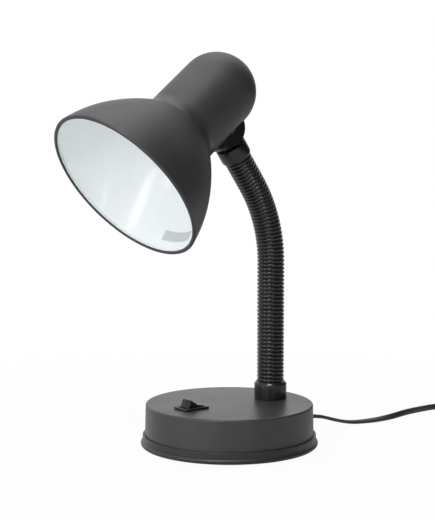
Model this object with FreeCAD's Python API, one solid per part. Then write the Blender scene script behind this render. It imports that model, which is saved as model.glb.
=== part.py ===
import FreeCAD, Part
import math
import os

# Gooseneck desk lamp, millimetres. The origin is the centre of the base on the table, +Z up, -Y the front.
# The arm and the head lie in one upright plane through the arm's foot, turned a little towards +X.

V = FreeCAD.Vector
ORIGIN = V(0, 0, 0)
ACROSS = V(1, 0, 0)
BACK = V(0, 1, 0)
UP = V(0, 0, 1)
FULL_TURN = 360.0
QUARTER_TURN = 90.0
HEX_SIDES = 6
PARALLEL_LIMIT = 1e-9

# Clearances
run_gap = 0.3
fit_gap = 0.05
cut_over = 1.0

# Base shell and bottom cover
base_height = 31.6
shell_r = 62.0
shell_draft = 0.7
shell_wall = 1.6
shell_edge_r = 1.2
foot_ring_t = 1.6
foot_ring_inset = 2.5
foot_ring_w = 9.5
cover_plate_t = 2.0
lip_reach = 3.0
lip_drop = 0.8
lip_h = 8.3
lip_step = 1.4
lip_bead_h = 3.9
lip_edge_r = 0.4

# Screws that hold the bottom cover
base_screw_count = 3
base_screw_inset = 18.0
base_screw_first_angle = 60.0
base_screw_r = 1.2
base_screw_length = 11.0
base_screw_head_r = 3.0
base_screw_head_h = 1.2
post_r = 3.5

# Ballast
ballast_inset = 4.0
ballast_h = 13.0
ballast_slot_w = 34.0
ballast_slot_start = 17.0
ballast_pocket_w = 20.0
ballast_pocket_l = 26.0

# Rocker switch
switch_inset = 27.2
switch_turn = 8.4
bezel_w = 15.0
bezel_l = 21.0
bezel_h = 1.6
bezel_corner_r = 1.0
switch_body_w = 12.8
switch_body_l = 18.8
switch_body_h = 17.0
rocker_sweep_r = 8.2
rocker_w = 10.2
rocker_pivot_drop = 0.2
rocker_saddle_h = 3.9
rocker_belly_h = 5.0
rocker_side_drop = 1.0
rocker_tip_angle = 39.0
rocker_rest_angle = 23.0
trunnion_r = 1.0
trunnion_length = 0.9
blade_w = 6.3
blade_t = 0.8
blade_clearance = 3.0
blade_spacing = 7.0

# Strain relief, clamp and the cord inside the base
cord_d = 3.75
cord_exit_z = 13.6
relief_flange_r = 4.2
relief_flange_t = 1.6
relief_boot_l = 10.0
relief_tail_l = 5.6
relief_boot_r = 3.1
relief_wall = 0.9
inner_cord_l = 22.0
clamp_w = 18.0
clamp_l = 6.0
clamp_t = 2.6
clamp_inset = 14.0
clamp_screw_r = 1.2
clamp_screw_head_r = 2.2
clamp_screw_head_h = 1.3
clamp_screw_length = 8.0
lead_d = 1.8

# Arm
arm_turn = 9.8
arm_inset = 26.5
arm_straight = 101.3
arm_bend_r = 100.0
arm_lean = 36.0
arm_end_run = 35.0
hose_r = 10.0
hose_rib_depth = 0.9
hose_bore_r = 7.1
hose_seat = 4.4
ribs_per_sleeve = 11
rib_shares = ((0.0, 0), (0.2, 1), (0.62, 1), (0.82, 0))
station_count = 6
station_gap = 2.0
conduit_wall = 1.7
conduit_rings = 7
nipple_wall = 1.4
nipple_spare = 1.0
nipple_stick_out = 12.0
washer_r = 9.0
washer_t = 1.2
nut_r = 8.0
nut_h = 5.0
lower_collar_r = 12.0
lower_collar_h = 12.8
lower_collar_chamfer_w = 1.0
lower_collar_chamfer_h = 1.6
upper_collar_r = 11.2
upper_collar_l = 11.6
upper_collar_web = 3.0
upper_collar_round = 2.0

# Knuckle
ball_r = 17.5
pivot_over_rim = 15.0
stem_r = 5.0
stem_lead_r = 2.4
stem_eye_r = 4.8
tilt_close = 30.0
tilt_open = 12.0
pin_r = 2.0
pin_half_l = 12.0
pin_head_r = 3.6
pin_head_h = 2.4
friction_washer_t = 0.8
friction_washer_r = 4.6

# Head, measured along its own axis from the plane of the rim backwards
head_dip = 38.5
pivot_over_neck = 32.5
pivot_offset = 22.2
shade_r = 61.0
shade_wall = 1.2
shade_bead_r = 1.4
waist_r = 49.5
waist_depth = 32.0
waist_angle = 30.0
shade_neck_r = 28.2
shade_neck_depth = 59.5
spigot_l = 7.7
liner_t = 0.8
liner_edge_depth = 3.0
liner_gap = 0.1
liner_hole_r = 22.0
cover_r = 28.0
cover_wall = 1.4
cover_over_pivot = 13.0
socket_cover_seam = 0.3
sticker_w = 31.0
sticker_l = 7.2
sticker_t = 0.15
sticker_depth = 9.1
sticker_angle = -4.0

# Lampholder
thread_r = 13.3
screw_shell_t = 0.4
screw_shell_l = 28.0
holder_r = 16.8
holder_length = 38.5
holder_lip = 2.0
holder_back_t = 3.5
shoulder_r = 20.5
shoulder_t = 2.8
clamp_ring_r = 21.0
clamp_ring_t = 3.8
contact_hole_r = 5.0
contact_r = 3.4
contact_h = 2.5
side_contact_w = 4.0
back_plate_w = 18.0
back_plate_t = 3.0
back_plate_rise = 8.0
back_plate_over_pivot = 8.5
holder_screw_r = 1.3
holder_screw_head_r = 2.4
holder_screw_head_h = 1.5
holder_screw_spacing = 10.0
terminal_w = 5.0
terminal_l = 6.0
terminal_h = 4.0
terminal_offset = 12.4
terminal_screw_r = 1.7

# Free cord: the route by hand, from the strain relief to the coil, then the coil and the plug
cord_route = [
    (0.0, 73.5, 13.6),
    (0.0, 82.0, 13.6),
    (-2.5, 92.5, 10.5),
    (-7.0, 104.5, 5.3),
    (-10.6, 117.0, 2.2),
    (-10.6, 129.0, 1.9),
    (-9.2, 142.0, 1.9),
    (-12.5, 158.0, 1.9),
    (-17.5, 173.0, 1.9),
    (-22.0, 190.0, 1.9),
    (-25.0, 213.0, 1.9),
    (-23.0, 233.0, 1.9),
]
coil_r = 33.0
coil_pitch = 4.8
coil_layer_h = 5.0
coil_turns_down = 4.0
coil_turns_up = 3.75
coil_steps_per_turn = 4
coil_tail_l = 20.0
coil_near_run = 3 * cord_d
plug_face_w = 35.0
plug_t = 13.4
plug_body_l = 19.0
plug_shoulder_l = 14.0
plug_back_w = 14.0
plug_back_t = 10.0
plug_boot_r = 3.2
plug_boot_l = 7.0
plug_edge_r = 2.5
plug_pin_r = 2.0
plug_pin_l = 19.0
plug_pin_seat = 6.0
plug_pin_spacing = 18.0
arc_run_share = 0.45

# Sizes that follow
shell_top_r = shell_r - shell_draft
foot_ring_r = shell_r - foot_ring_inset
lip_r = shell_r + lip_reach
base_screw_pcr = shell_r - base_screw_inset
ballast_r = shell_r - ballast_inset
switch_front = shell_r - switch_inset
clamp_y = shell_r - clamp_inset
arm_back = shell_r - arm_inset
plate_bottom = foot_ring_t
plate_top = foot_ring_t + cover_plate_t
top_under = base_height - shell_wall
ballast_top = plate_top + ballast_h
conduit_r = hose_bore_r - run_gap
conduit_bore = conduit_r - conduit_wall
nipple_r = conduit_bore - fit_gap
nipple_low = base_height - shell_wall - washer_t - nut_h - nipple_spare
arm_length = arm_straight + math.radians(arm_lean) * arm_bend_r + arm_end_run
hose_end = arm_length - (ball_r + run_gap - pivot_over_rim) - upper_collar_web - run_gap
sleeve_length = (hose_end - hose_seat) / station_count
pivot_depth = shade_neck_depth + pivot_over_neck
cover_end_depth = pivot_depth + cover_over_pivot
back_plate_depth = pivot_depth + back_plate_over_pivot
holder_mouth_depth = back_plate_depth - holder_length
knuckle_flat = holder_r + 2 * run_gap
parts = {}


def polar(radius, angle):
    return V(radius * math.cos(math.radians(angle)), radius * math.sin(math.radians(angle)), 0)


def lathe(points):
    """Body of revolution about Z. A point is (r, z), or (r, z, mid_r, mid_z) at the end of an arc."""
    edges = []
    previous = V(points[-1][0], 0, points[-1][1])
    for point in points:
        here = V(point[0], 0, point[1])
        if len(point) == 4:
            edges.append(Part.Arc(previous, V(point[2], 0, point[3]), here).toShape())
        else:
            edges.append(Part.LineSegment(previous, here).toShape())
        previous = here
    return Part.Face(Part.Wire(edges)).revolve(ORIGIN, UP, FULL_TURN)


def disc(radius, low, high, x=0.0, y=0.0):
    return Part.makeCylinder(radius, high - low, V(x, y, low), UP)


def ring(outer, inner, low, high):
    return disc(outer, low, high).cut(disc(inner, low - cut_over, high + cut_over))


def block(x, y, low, width, length, high):
    return Part.makeBox(width, length, high - low, V(x - width / 2, y - length / 2, low))


def rounded_block(x, y, low, width, length, high, radius):
    body = block(x, y, low, width, length, high)
    upright = [e for e in body.Edges if abs(e.tangentAt(e.FirstParameter).z) > math.cos(math.radians(1))]
    return body.makeFillet(radius, upright)


def hex_nut(across_corners_r, bore, low, high):
    corners = [polar(across_corners_r, k * FULL_TURN / HEX_SIDES) + V(0, 0, low) for k in range(HEX_SIDES + 1)]
    body = Part.Face(Part.makePolygon(corners)).extrude(V(0, 0, high - low))
    return body.cut(disc(bore, low - cut_over, high + cut_over))


def screw(x, y, head_low, head_high, tip, shaft, head):
    """A pan head between head_low and head_high, and a shaft to the tip on either side of it."""
    seat = head_high if tip > head_high else head_low
    return disc(head, head_low, head_high, x, y).fuse(disc(shaft, min(seat, tip), max(seat, tip), x, y))


def group(shapes):
    return Part.makeCompound(shapes)


def in_arm_plane(shape):
    """From the arm's own frame (foot on the table at its origin, forwards along -Y) to the lamp's frame."""
    moved = shape.copy()
    moved.rotate(ORIGIN, UP, arm_turn)
    moved.translate(V(0, arm_back, 0))
    return moved


def at_switch(shape):
    """From the switch's own frame (straight in front of the base's centre) to the lamp's frame."""
    moved = shape.copy()
    moved.rotate(ORIGIN, UP, switch_turn)
    return moved


def by_switch(x, y, z):
    """A point of the switch's own frame, in the lamp's frame."""
    turn = math.radians(switch_turn)
    return (x * math.cos(turn) - y * math.sin(turn), x * math.sin(turn) + y * math.cos(turn), z)


def arm_point(length):
    """Place and lean of the arm's centre line at a length from the base top, in the arm's own frame."""
    arc = math.radians(arm_lean) * arm_bend_r
    turn = min(max(length - arm_straight, 0), arc) / arm_bend_r
    forward = arm_bend_r * (1 - math.cos(turn))
    height = base_height + min(length, arm_straight) + arm_bend_r * math.sin(turn)
    rest = max(length - arm_straight - arc, 0)
    place = V(0, -forward - rest * math.sin(turn), height + rest * math.cos(turn))
    return place, math.degrees(turn)


def on_arm(shape, length):
    """Moves a shape built about +Z at the origin to a place on the arm's centre line."""
    place, lean = arm_point(length)
    moved = shape.copy()
    moved.rotate(ORIGIN, ACROSS, lean)
    moved.translate(place)
    return moved


def arm_circle(length, radius):
    return on_arm(Part.Wire(Part.makeCircle(radius, ORIGIN, UP)), length)


def arm_rod(start, end, radius, rings):
    step = (end - start) / (rings - 1)
    return Part.makeLoft([arm_circle(start + k * step, radius) for k in range(rings)], True, True)


pivot_place = arm_point(arm_length + pivot_over_rim)[0]


def on_head(shape):
    """From the head's own frame (rim plane at z = 0, +Z backwards, +Y down and back) to the lamp's frame."""
    moved = shape.copy()
    moved.translate(V(0, -pivot_offset, -pivot_depth))
    moved.rotate(ORIGIN, ACROSS, head_dip - QUARTER_TURN)
    moved.translate(pivot_place)
    return in_arm_plane(moved)


def smooth_path(points, name):
    """Straight runs joined by tangent arcs. Prints the arcs' radii and returns the wire and its length."""
    points = [V(*p) for p in points]
    edges = []
    radii = []
    start = points[0]
    for before, corner, after in zip(points, points[1:], points[2:]):
        inward = corner - before
        outward = after - corner
        turn = inward.getAngle(outward)
        trim = arc_run_share * min(inward.Length, outward.Length)
        radius = trim / math.tan(turn / 2)
        radii.append(radius)
        first = corner - inward.normalize() * trim
        last = corner + outward.normalize() * trim
        to_centre = (last + first) * (1 / 2) - corner
        reach = radius / math.cos(turn / 2) - radius
        middle = corner + to_centre.normalize() * reach
        edges.append(Part.LineSegment(start, first).toShape())
        edges.append(Part.Arc(first, middle, last).toShape())
        start = last
    edges.append(Part.LineSegment(start, points[-1]).toShape())
    wire = Part.Wire(edges)
    print(name, "arc radii", [round(r, 1) for r in radii], "length", round(wire.Length, 1))
    return wire


def sweep_round(wire, diameter, name):
    start = wire.OrderedEdges[0]
    direction = start.tangentAt(start.FirstParameter)
    circle = Part.Wire(Part.makeCircle(diameter / 2, wire.OrderedVertexes[0].Point, direction))
    solid = wire.makePipeShell([circle], True, False)
    expected = math.pi * (diameter / 2) ** 2 * wire.Length
    print(name, "volume", round(solid.Volume, 1), "section times length", round(expected, 1))
    return solid


def base_shell():
    edge_mid = shell_edge_r * (1 - math.cos(math.radians(QUARTER_TURN / 2)))
    shell = lathe([
        (0, base_height),
        (shell_top_r - shell_edge_r, base_height),
        (shell_top_r, base_height - shell_edge_r, shell_top_r - edge_mid, base_height - edge_mid),
        (shell_r, plate_top),
        (shell_r - shell_wall, plate_top),
        (shell_top_r - shell_wall, top_under),
        (0, top_under),
    ])
    for x, y in screw_places():
        post = disc(post_r, plate_top, top_under, x, y)
        pilot = disc(base_screw_r + fit_gap, plate_top - cut_over, plate_top + base_screw_length, x, y)
        shell = shell.fuse(post).cut(pilot)
    shell = shell.cut(disc(nipple_r + fit_gap, top_under - cut_over, base_height + cut_over, 0, arm_back))
    opening_w = switch_body_w + 2 * fit_gap
    opening_l = switch_body_l + 2 * fit_gap
    opening = block(0, -switch_front, top_under - cut_over, opening_w, opening_l, base_height + cut_over)
    shell = shell.cut(at_switch(opening))
    relief = Part.makeCylinder(relief_neck_r() + fit_gap, 2 * shell_wall + cut_over,
                               V(0, shell_r - 2 * shell_wall, cord_exit_z), BACK)
    return shell.cut(relief)


def screw_places():
    step = FULL_TURN / base_screw_count
    spots = [polar(base_screw_pcr, base_screw_first_angle + k * step) for k in range(base_screw_count)]
    return [(spot.x, spot.y) for spot in spots]


def relief_neck_r():
    return cord_d / 2 + relief_wall


def bottom_cover():
    lip_low = plate_bottom - lip_drop
    lip_top = lip_low + lip_h
    band_r = lip_r - lip_step
    edge_mid = lip_edge_r * (1 - math.cos(math.radians(QUARTER_TURN / 2)))
    inner_r = shell_r + fit_gap
    body = lathe([
        (0, plate_bottom),
        (band_r - lip_drop, plate_bottom),
        (band_r, lip_low),
        (band_r, lip_low + lip_bead_h, lip_r, lip_low + lip_bead_h / 2),
        (band_r, lip_top - lip_edge_r),
        (band_r - lip_edge_r, lip_top, band_r - edge_mid, lip_top - edge_mid),
        (inner_r, lip_top),
        (inner_r, plate_top),
        (0, plate_top),
    ])
    for x, y in screw_places():
        hole = disc(base_screw_r + run_gap, plate_bottom - cut_over, plate_top + cut_over, x, y)
        body = body.cut(hole)
    pedestal_top = cord_exit_z - cord_d / 2
    pedestal = block(0, clamp_y, plate_top, clamp_w, clamp_l, pedestal_top)
    for x in clamp_screw_xs():
        pilot = disc(clamp_screw_r + fit_gap, pedestal_top - clamp_screw_length, pedestal_top + cut_over,
                     x, clamp_y)
        pedestal = pedestal.cut(pilot)
    return body.fuse(pedestal)


def clamp_screw_xs():
    offset = clamp_w / 2 - clamp_screw_head_r - fit_gap
    return (-offset, offset)


def foot_ring():
    return ring(foot_ring_r, foot_ring_r - foot_ring_w, 0, foot_ring_t)


def base_screws():
    low = plate_bottom - base_screw_head_h
    tip = plate_top + base_screw_length - run_gap
    return group([screw(x, y, low, plate_bottom, tip, base_screw_r, base_screw_head_r)
                  for x, y in screw_places()])


def ballast():
    body = disc(ballast_r, plate_top, ballast_top)
    slot_l = ballast_r - ballast_slot_start + cut_over
    body = body.cut(block(0, ballast_slot_start + slot_l / 2, plate_top - cut_over, ballast_slot_w, slot_l,
                          ballast_top + cut_over))
    pocket = block(0, -switch_front, plate_top - cut_over, ballast_pocket_w, ballast_pocket_l,
                   ballast_top + cut_over)
    body = body.cut(at_switch(pocket))
    for x, y in screw_places():
        body = body.cut(disc(post_r + run_gap, plate_top - cut_over, ballast_top + cut_over, x, y))
    return body


def rocker_pivot():
    return V(0, -switch_front, base_height - rocker_pivot_drop)


def switch_housing():
    low = base_height - switch_body_h
    high = base_height + bezel_h
    body = block(0, -switch_front, low, switch_body_w, switch_body_l, base_height)
    body = body.fuse(rounded_block(0, -switch_front, base_height, bezel_w, bezel_l, high, bezel_corner_r))
    pivot = rocker_pivot()
    well_floor = pivot.z - rocker_sweep_r - run_gap
    well_w = rocker_w + 2 * run_gap
    well_l = 2 * (rocker_sweep_r + run_gap)
    body = body.cut(block(0, -switch_front, well_floor, well_w, well_l, high + cut_over))
    hole_l = rocker_w + 2 * trunnion_length + 2 * fit_gap
    hole = Part.makeCylinder(trunnion_r + fit_gap, hole_l, pivot - ACROSS * (hole_l / 2), ACROSS)
    return at_switch(body.cut(hole))


def switch_rocker():
    tip = polar(rocker_sweep_r, rocker_tip_angle)
    outline = [(0, rocker_saddle_h), (tip.x, tip.y), (tip.x, -rocker_side_drop), (0, -rocker_belly_h),
               (-tip.x, -rocker_side_drop), (-tip.x, tip.y), (0, rocker_saddle_h)]
    corners = [V(-rocker_w / 2, y, z) for y, z in outline]
    body = Part.Face(Part.makePolygon(corners)).extrude(ACROSS * rocker_w)
    pin_l = rocker_w + 2 * trunnion_length
    body = body.fuse(Part.makeCylinder(trunnion_r, pin_l, ACROSS * (-pin_l / 2), ACROSS))
    body.rotate(ORIGIN, ACROSS, -rocker_rest_angle)
    body.translate(rocker_pivot())
    return at_switch(body)


def switch_terminals():
    low = plate_top + blade_clearance
    high = base_height - switch_body_h
    return at_switch(group([block(0, -switch_front + side * blade_spacing / 2, low, blade_w, blade_t, high)
                            for side in (-1, 1)]))


def strain_relief():
    """Grommet with an inner tail and a tapered boot, built about Z and laid along +Y through the shell."""
    inner_face = shell_wall + run_gap
    body = lathe([
        (cord_d / 2 + fit_gap, -inner_face - relief_flange_t - relief_tail_l),
        (relief_neck_r(), -inner_face - relief_flange_t - relief_tail_l),
        (relief_neck_r(), -inner_face - relief_flange_t),
        (relief_flange_r, -inner_face - relief_flange_t),
        (relief_flange_r, -inner_face),
        (relief_neck_r(), -inner_face),
        (relief_neck_r(), run_gap),
        (relief_flange_r, run_gap),
        (relief_flange_r, relief_flange_t),
        (relief_boot_r, 2 * relief_flange_t),
        (cord_d / 2 + relief_wall / 2, relief_flange_t + relief_boot_l),
        (cord_d / 2 + fit_gap, relief_flange_t + relief_boot_l),
    ])
    body.rotate(ORIGIN, ACROSS, -QUARTER_TURN)
    body.translate(V(0, relief_face(), cord_exit_z))
    return body


def relief_face():
    """Y of the shell's outer wall at the height of the cord."""
    share = (cord_exit_z - plate_top) / (base_height - shell_edge_r - plate_top)
    return shell_r - shell_draft * share


def inner_cord():
    end = cord_route[0][1]
    length = end - relief_face() + inner_cord_l
    return Part.makeCylinder(cord_d / 2, length, V(0, end - length, cord_exit_z), BACK)


def cord_clamp():
    low = cord_exit_z + cord_d / 2
    body = block(0, clamp_y, low, clamp_w, clamp_l, low + clamp_t)
    for x in clamp_screw_xs():
        body = body.cut(disc(clamp_screw_r + fit_gap, low - cut_over, low + clamp_t + cut_over, x, clamp_y))
    return body


def clamp_screws():
    low = cord_exit_z + cord_d / 2 + clamp_t
    tip = cord_exit_z - cord_d / 2 - clamp_screw_length + run_gap
    return group([screw(x, clamp_y, low, low + clamp_screw_head_h, tip, clamp_screw_r, clamp_screw_head_r)
                  for x in clamp_screw_xs()])


def base_leads():
    """Single cores over the ballast: cord to switch, and switch to the arm's nipple."""
    level = ballast_top + lead_d
    split = relief_face() - inner_cord_l
    beside = switch_body_w / 2 + lead_d
    front = -switch_front + blade_spacing / 2
    step = lead_d + fit_gap
    to_switch = smooth_path([
        (step / 2, split, cord_exit_z),
        (step / 2, split - washer_r / 2, cord_exit_z),
        (washer_r + lead_d, split - washer_r, level),
        (washer_r + lead_d, ballast_slot_start, level),
        by_switch(beside, front + switch_body_l, level),
        by_switch(beside, front, level),
    ], "switch lead")
    to_arm = smooth_path([
        by_switch(-beside, front, level),
        by_switch(-beside, front + switch_body_l, level),
        (-nut_r, ballast_slot_start, level),
        (-nipple_r / 4, arm_back - nut_r / 2, nipple_low - 2 * lead_d),
        (0, arm_back, nipple_low),
    ], "arm lead")
    return group([sweep_round(to_switch, lead_d, "switch lead"), sweep_round(to_arm, lead_d, "arm lead")])


def nipple():
    return disc(nipple_r, nipple_low, base_height + nipple_stick_out).cut(
        disc(nipple_r - nipple_wall, nipple_low - cut_over, base_height + nipple_stick_out + cut_over))


def nipple_washer():
    return ring(washer_r, nipple_r + fit_gap, top_under - washer_t, top_under)


def nipple_nut():
    high = top_under - washer_t
    return hex_nut(nut_r, nipple_r + fit_gap, high - nut_h, high)


def lower_collar():
    top = base_height + lower_collar_h
    inner = hose_r + run_gap
    return lathe([
        (nipple_r + fit_gap, base_height),
        (lower_collar_r, base_height),
        (lower_collar_r, top - lower_collar_chamfer_h),
        (lower_collar_r - lower_collar_chamfer_w, top),
        (inner, top),
        (inner, base_height + hose_seat - run_gap),
        (nipple_r + fit_gap, base_height + hose_seat - run_gap),
    ])


def station(index):
    """Length along the arm of the middle of a sleeve, counted from 1."""
    return hose_seat + (index - 1 / 2) * sleeve_length


def conduit(index):
    """Stiff stretch of the inner tube between two bending stations."""
    start = hose_seat if index == 0 else station(index) + station_gap
    end = hose_end if index == station_count else station(index + 1) - station_gap
    outer = arm_rod(start, end, conduit_r, conduit_rings)
    return outer.cut(arm_rod(start - fit_gap, end + fit_gap, conduit_bore, conduit_rings))


def sleeve(index):
    """Ribbed stretch of the gooseneck's skin from the middle of one stiff stretch to the next."""
    start = hose_seat + (index - 1) * sleeve_length
    pitch = sleeve_length / ribs_per_sleeve
    circles = []
    for rib in range(ribs_per_sleeve):
        for share, raised in rib_shares:
            radius = hose_r - hose_rib_depth * (1 - raised)
            circles.append(arm_circle(start + (rib + share) * pitch, radius))
    circles.append(arm_circle(start + sleeve_length, hose_r - hose_rib_depth))
    skin = Part.makeLoft(circles, True, True)
    bore = arm_rod(start - fit_gap, start + sleeve_length + fit_gap, hose_bore_r, conduit_rings)
    return skin.cut(bore)


def upper_collar():
    """Cup that takes the ball above and the hose below, built with its rim at z = 0."""
    seat_r = ball_r + run_gap
    floor = pivot_over_rim - seat_r - upper_collar_web
    mid = upper_collar_round * (1 - math.cos(math.radians(QUARTER_TURN / 2)))
    body = lathe([
        (0, 0),
        (upper_collar_r, 0),
        (upper_collar_r, -upper_collar_l + upper_collar_round),
        (upper_collar_r - upper_collar_round / 2, -upper_collar_l,
         upper_collar_r - mid, -upper_collar_l + mid),
        (0, -upper_collar_l),
    ])
    body = body.cut(disc(hose_r + run_gap, -upper_collar_l - cut_over, floor))
    body = body.cut(Part.makeSphere(seat_r, V(0, 0, pivot_over_rim)))
    return body.cut(disc(stem_r + fit_gap, floor - cut_over, cut_over))


def stem_bottom():
    return pivot_over_rim - ball_r - run_gap - upper_collar_web


def knuckle_stem():
    """Hollow stem with an eye for the pivot screw, built with the collar's rim at z = 0."""
    pivot = V(0, 0, pivot_over_rim)
    body = disc(stem_r, stem_bottom(), pivot_over_rim)
    eye = Part.makeCylinder(stem_eye_r, 2 * stem_r, pivot - ACROSS * stem_r, ACROSS)
    body = body.fuse(eye)
    lead_top = pivot_over_rim - stem_eye_r - stem_lead_r
    body = body.cut(disc(stem_lead_r, stem_bottom() - cut_over, lead_top + stem_lead_r))
    window = Part.makeCylinder(stem_lead_r, stem_r + cut_over, V(0, 0, lead_top), BACK * -1)
    body = body.cut(window)
    half = stem_r + cut_over
    return body.cut(Part.makeCylinder(pin_r + fit_gap, 2 * half, pivot - ACROSS * half, ACROSS))


def swing_space():
    """Room in the ball for the stem over its whole swing, about the pivot at the origin."""
    half_w = stem_r + friction_washer_t + 2 * fit_gap
    half_l = stem_r + run_gap
    reach = ball_r + cut_over
    rest = head_dip - arm_lean
    low = rest - tilt_open
    high = rest + tilt_close
    space = Part.makeCylinder(stem_eye_r + run_gap, 2 * half_w, ACROSS * -half_w, ACROSS)
    for angle in (low, high):
        arm = Part.makeBox(2 * half_w, reach, 2 * half_l, V(-half_w, 0, -half_l))
        arm.rotate(ORIGIN, ACROSS, -angle)
        space = space.fuse(arm)
    wedge = [ORIGIN]
    for angle in (low, (low + high) / 2, high):
        tip = polar(reach, -angle)
        wedge.append(V(0, tip.x, tip.y))
    wedge.append(ORIGIN)
    sector = Part.Face(Part.makePolygon(wedge)).extrude(ACROSS * (2 * half_w))
    sector.translate(ACROSS * -half_w)
    return space.fuse(sector)


def head_knuckle():
    """Ball with its inner side cut flat, and the plate behind the lampholder."""
    centre = V(0, pivot_offset, pivot_depth)
    body = Part.makeSphere(ball_r, centre)
    half = ball_r + cut_over
    inner_side = V(-half, knuckle_flat - 2 * half, pivot_depth - half)
    body = body.cut(Part.makeBox(2 * half, 2 * half, 2 * half, inner_side))
    plate_low = back_plate_depth
    plate = Part.makeBox(back_plate_w, knuckle_flat + back_plate_rise + run_gap, back_plate_t,
                         V(-back_plate_w / 2, -back_plate_rise, plate_low))
    body = body.fuse(plate)
    shoulder_end = shade_neck_depth + spigot_l + shoulder_t
    body = body.cut(disc(shoulder_r + run_gap, 0, shoulder_end + run_gap))
    space = swing_space()
    space.translate(centre)
    body = body.cut(space)
    hole_l = 2 * ball_r + 2 * cut_over
    body = body.cut(Part.makeCylinder(pin_r + fit_gap, hole_l, centre - ACROSS * (hole_l / 2), ACROSS))
    for side in (-1, 1):
        seat = centre + ACROSS * (side * pin_seat())
        body = body.cut(Part.makeCylinder(pin_head_r + run_gap, ball_r, seat, ACROSS * side))
    for x in holder_screw_xs():
        body = body.cut(disc(holder_screw_r + fit_gap, plate_low - cut_over,
                             plate_low + back_plate_t + cut_over, x))
    return body


def pin_seat():
    return pin_half_l - pin_head_h


def pivot_screw():
    centre = V(0, pivot_offset, pivot_depth)
    shaft = Part.makeCylinder(pin_r, 2 * pin_half_l - pin_head_h / 2, centre - ACROSS * pin_half_l, ACROSS)
    head = Part.makeCylinder(pin_head_r, pin_head_h, centre + ACROSS * pin_seat(), ACROSS)
    return shaft.fuse(head)


def pivot_nut():
    nut = hex_nut(pin_head_r, pin_r + fit_gap, 0, pin_head_h)
    nut.rotate(ORIGIN, BACK, QUARTER_TURN)
    nut.translate(V(-pin_half_l, pivot_offset, pivot_depth))
    return nut


def friction_washers():
    centre = V(0, pivot_offset, pivot_depth)
    washers = []
    for side in (-1, 1):
        base = centre + ACROSS * (side * (stem_r + fit_gap))
        washer = Part.makeCylinder(friction_washer_r, friction_washer_t, base, ACROSS * side)
        bore = Part.makeCylinder(pin_r + fit_gap, friction_washer_t, base, ACROSS * side)
        washers.append(washer.cut(bore))
    return group(washers)


def bell_offset(inward):
    """Rim, waist and neck of the bell's two tangent arcs and their middles, moved inwards by a distance."""
    turn_in = math.radians(waist_angle)
    waist = V(waist_r, 0, waist_depth)
    across = V(-math.cos(turn_in), 0, -math.sin(turn_in))
    result = []
    for end in (V(shade_r, 0, shade_bead_r), V(shade_neck_r, 0, shade_neck_depth)):
        chord = end - waist
        sideways = chord.dot(across)
        radius = chord.dot(chord) / (2 * sideways)
        centre = waist + across * radius
        towards = (end - centre).normalize()
        half_way = ((end - centre).normalize() + (waist - centre).normalize()).normalize()
        grown = radius - inward
        result.append((centre + towards * grown, centre + half_way * grown))
    waist_point = waist + across * inward
    (rim, rim_mid), (neck, neck_mid) = result
    return rim, rim_mid, waist_point, neck_mid, neck


def bell_points(inward, reverse):
    rim, rim_mid, waist, neck_mid, neck = bell_offset(inward)
    if reverse:
        return [(neck.x, neck.z), (waist.x, waist.z, neck_mid.x, neck_mid.z),
                (rim.x, rim.z, rim_mid.x, rim_mid.z)]
    return [(rim.x, rim.z), (waist.x, waist.z, rim_mid.x, rim_mid.z),
            (neck.x, neck.z, neck_mid.x, neck_mid.z)]


def bell_shade():
    """Bell with a rolled rim, and a spigot and flange that the lampholder's clamp ring holds."""
    spigot_r = cover_r - cover_wall - fit_gap
    end = shade_neck_depth + spigot_l
    body = lathe(bell_points(0, False) + [
        (spigot_r, shade_neck_depth),
        (spigot_r, end),
        (holder_r + run_gap, end),
        (holder_r + run_gap, end - shade_wall),
        (spigot_r - shade_wall, end - shade_wall),
        (spigot_r - shade_wall, bell_offset(shade_wall)[4].z),
    ] + bell_points(shade_wall, True))
    bead = Part.makeTorus(shade_r - shade_bead_r, shade_bead_r, V(0, 0, shade_bead_r), UP)
    return body.fuse(bead)


def white_liner():
    """Thin white reflector inside the bell, open round the lampholder."""
    outside = shade_wall + liner_gap
    inside = outside + liner_t
    shell = lathe(bell_points(outside, False) + bell_points(inside, True))
    back = bell_offset(outside)[4]
    flange_low = bell_offset(inside)[4].z - liner_t
    flange = ring(back.x, liner_hole_r, flange_low, back.z)
    hollow = lathe(bell_points(outside, False) + [(liner_hole_r, back.z), (liner_hole_r, 0)])
    shell = shell.fuse(flange.common(hollow))
    return shell.cut(disc(2 * shade_r, -shade_r, liner_edge_depth))


def blank_sticker():
    """Bare label place on the liner near the rim, a thin patch of the liner's own curve."""
    inside = shade_wall + liner_gap + liner_t + fit_gap
    skin = lathe(bell_points(inside, False) + bell_points(inside + sticker_t, True))
    patch = Part.makeBox(shade_r, sticker_w, sticker_l, V(0, -sticker_w / 2, sticker_depth))
    patch.rotate(ORIGIN, UP, QUARTER_TURN + sticker_angle)
    return skin.common(patch)


def socket_cover():
    """Cylinder with a half-round end, holed where the ball comes out."""
    start = shade_neck_depth + socket_cover_seam
    inner = cover_r - cover_wall
    body = disc(cover_r, start, cover_end_depth).fuse(Part.makeSphere(cover_r, V(0, 0, cover_end_depth)))
    hollow = disc(inner, start - cut_over, cover_end_depth)
    hollow = hollow.fuse(Part.makeSphere(inner, V(0, 0, cover_end_depth)))
    body = body.cut(hollow).cut(disc(inner, start - cover_r, start))
    return body.cut(Part.makeSphere(ball_r + run_gap, V(0, pivot_offset, pivot_depth)))


def flange_front():
    return shade_neck_depth + spigot_l - shade_wall


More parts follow.
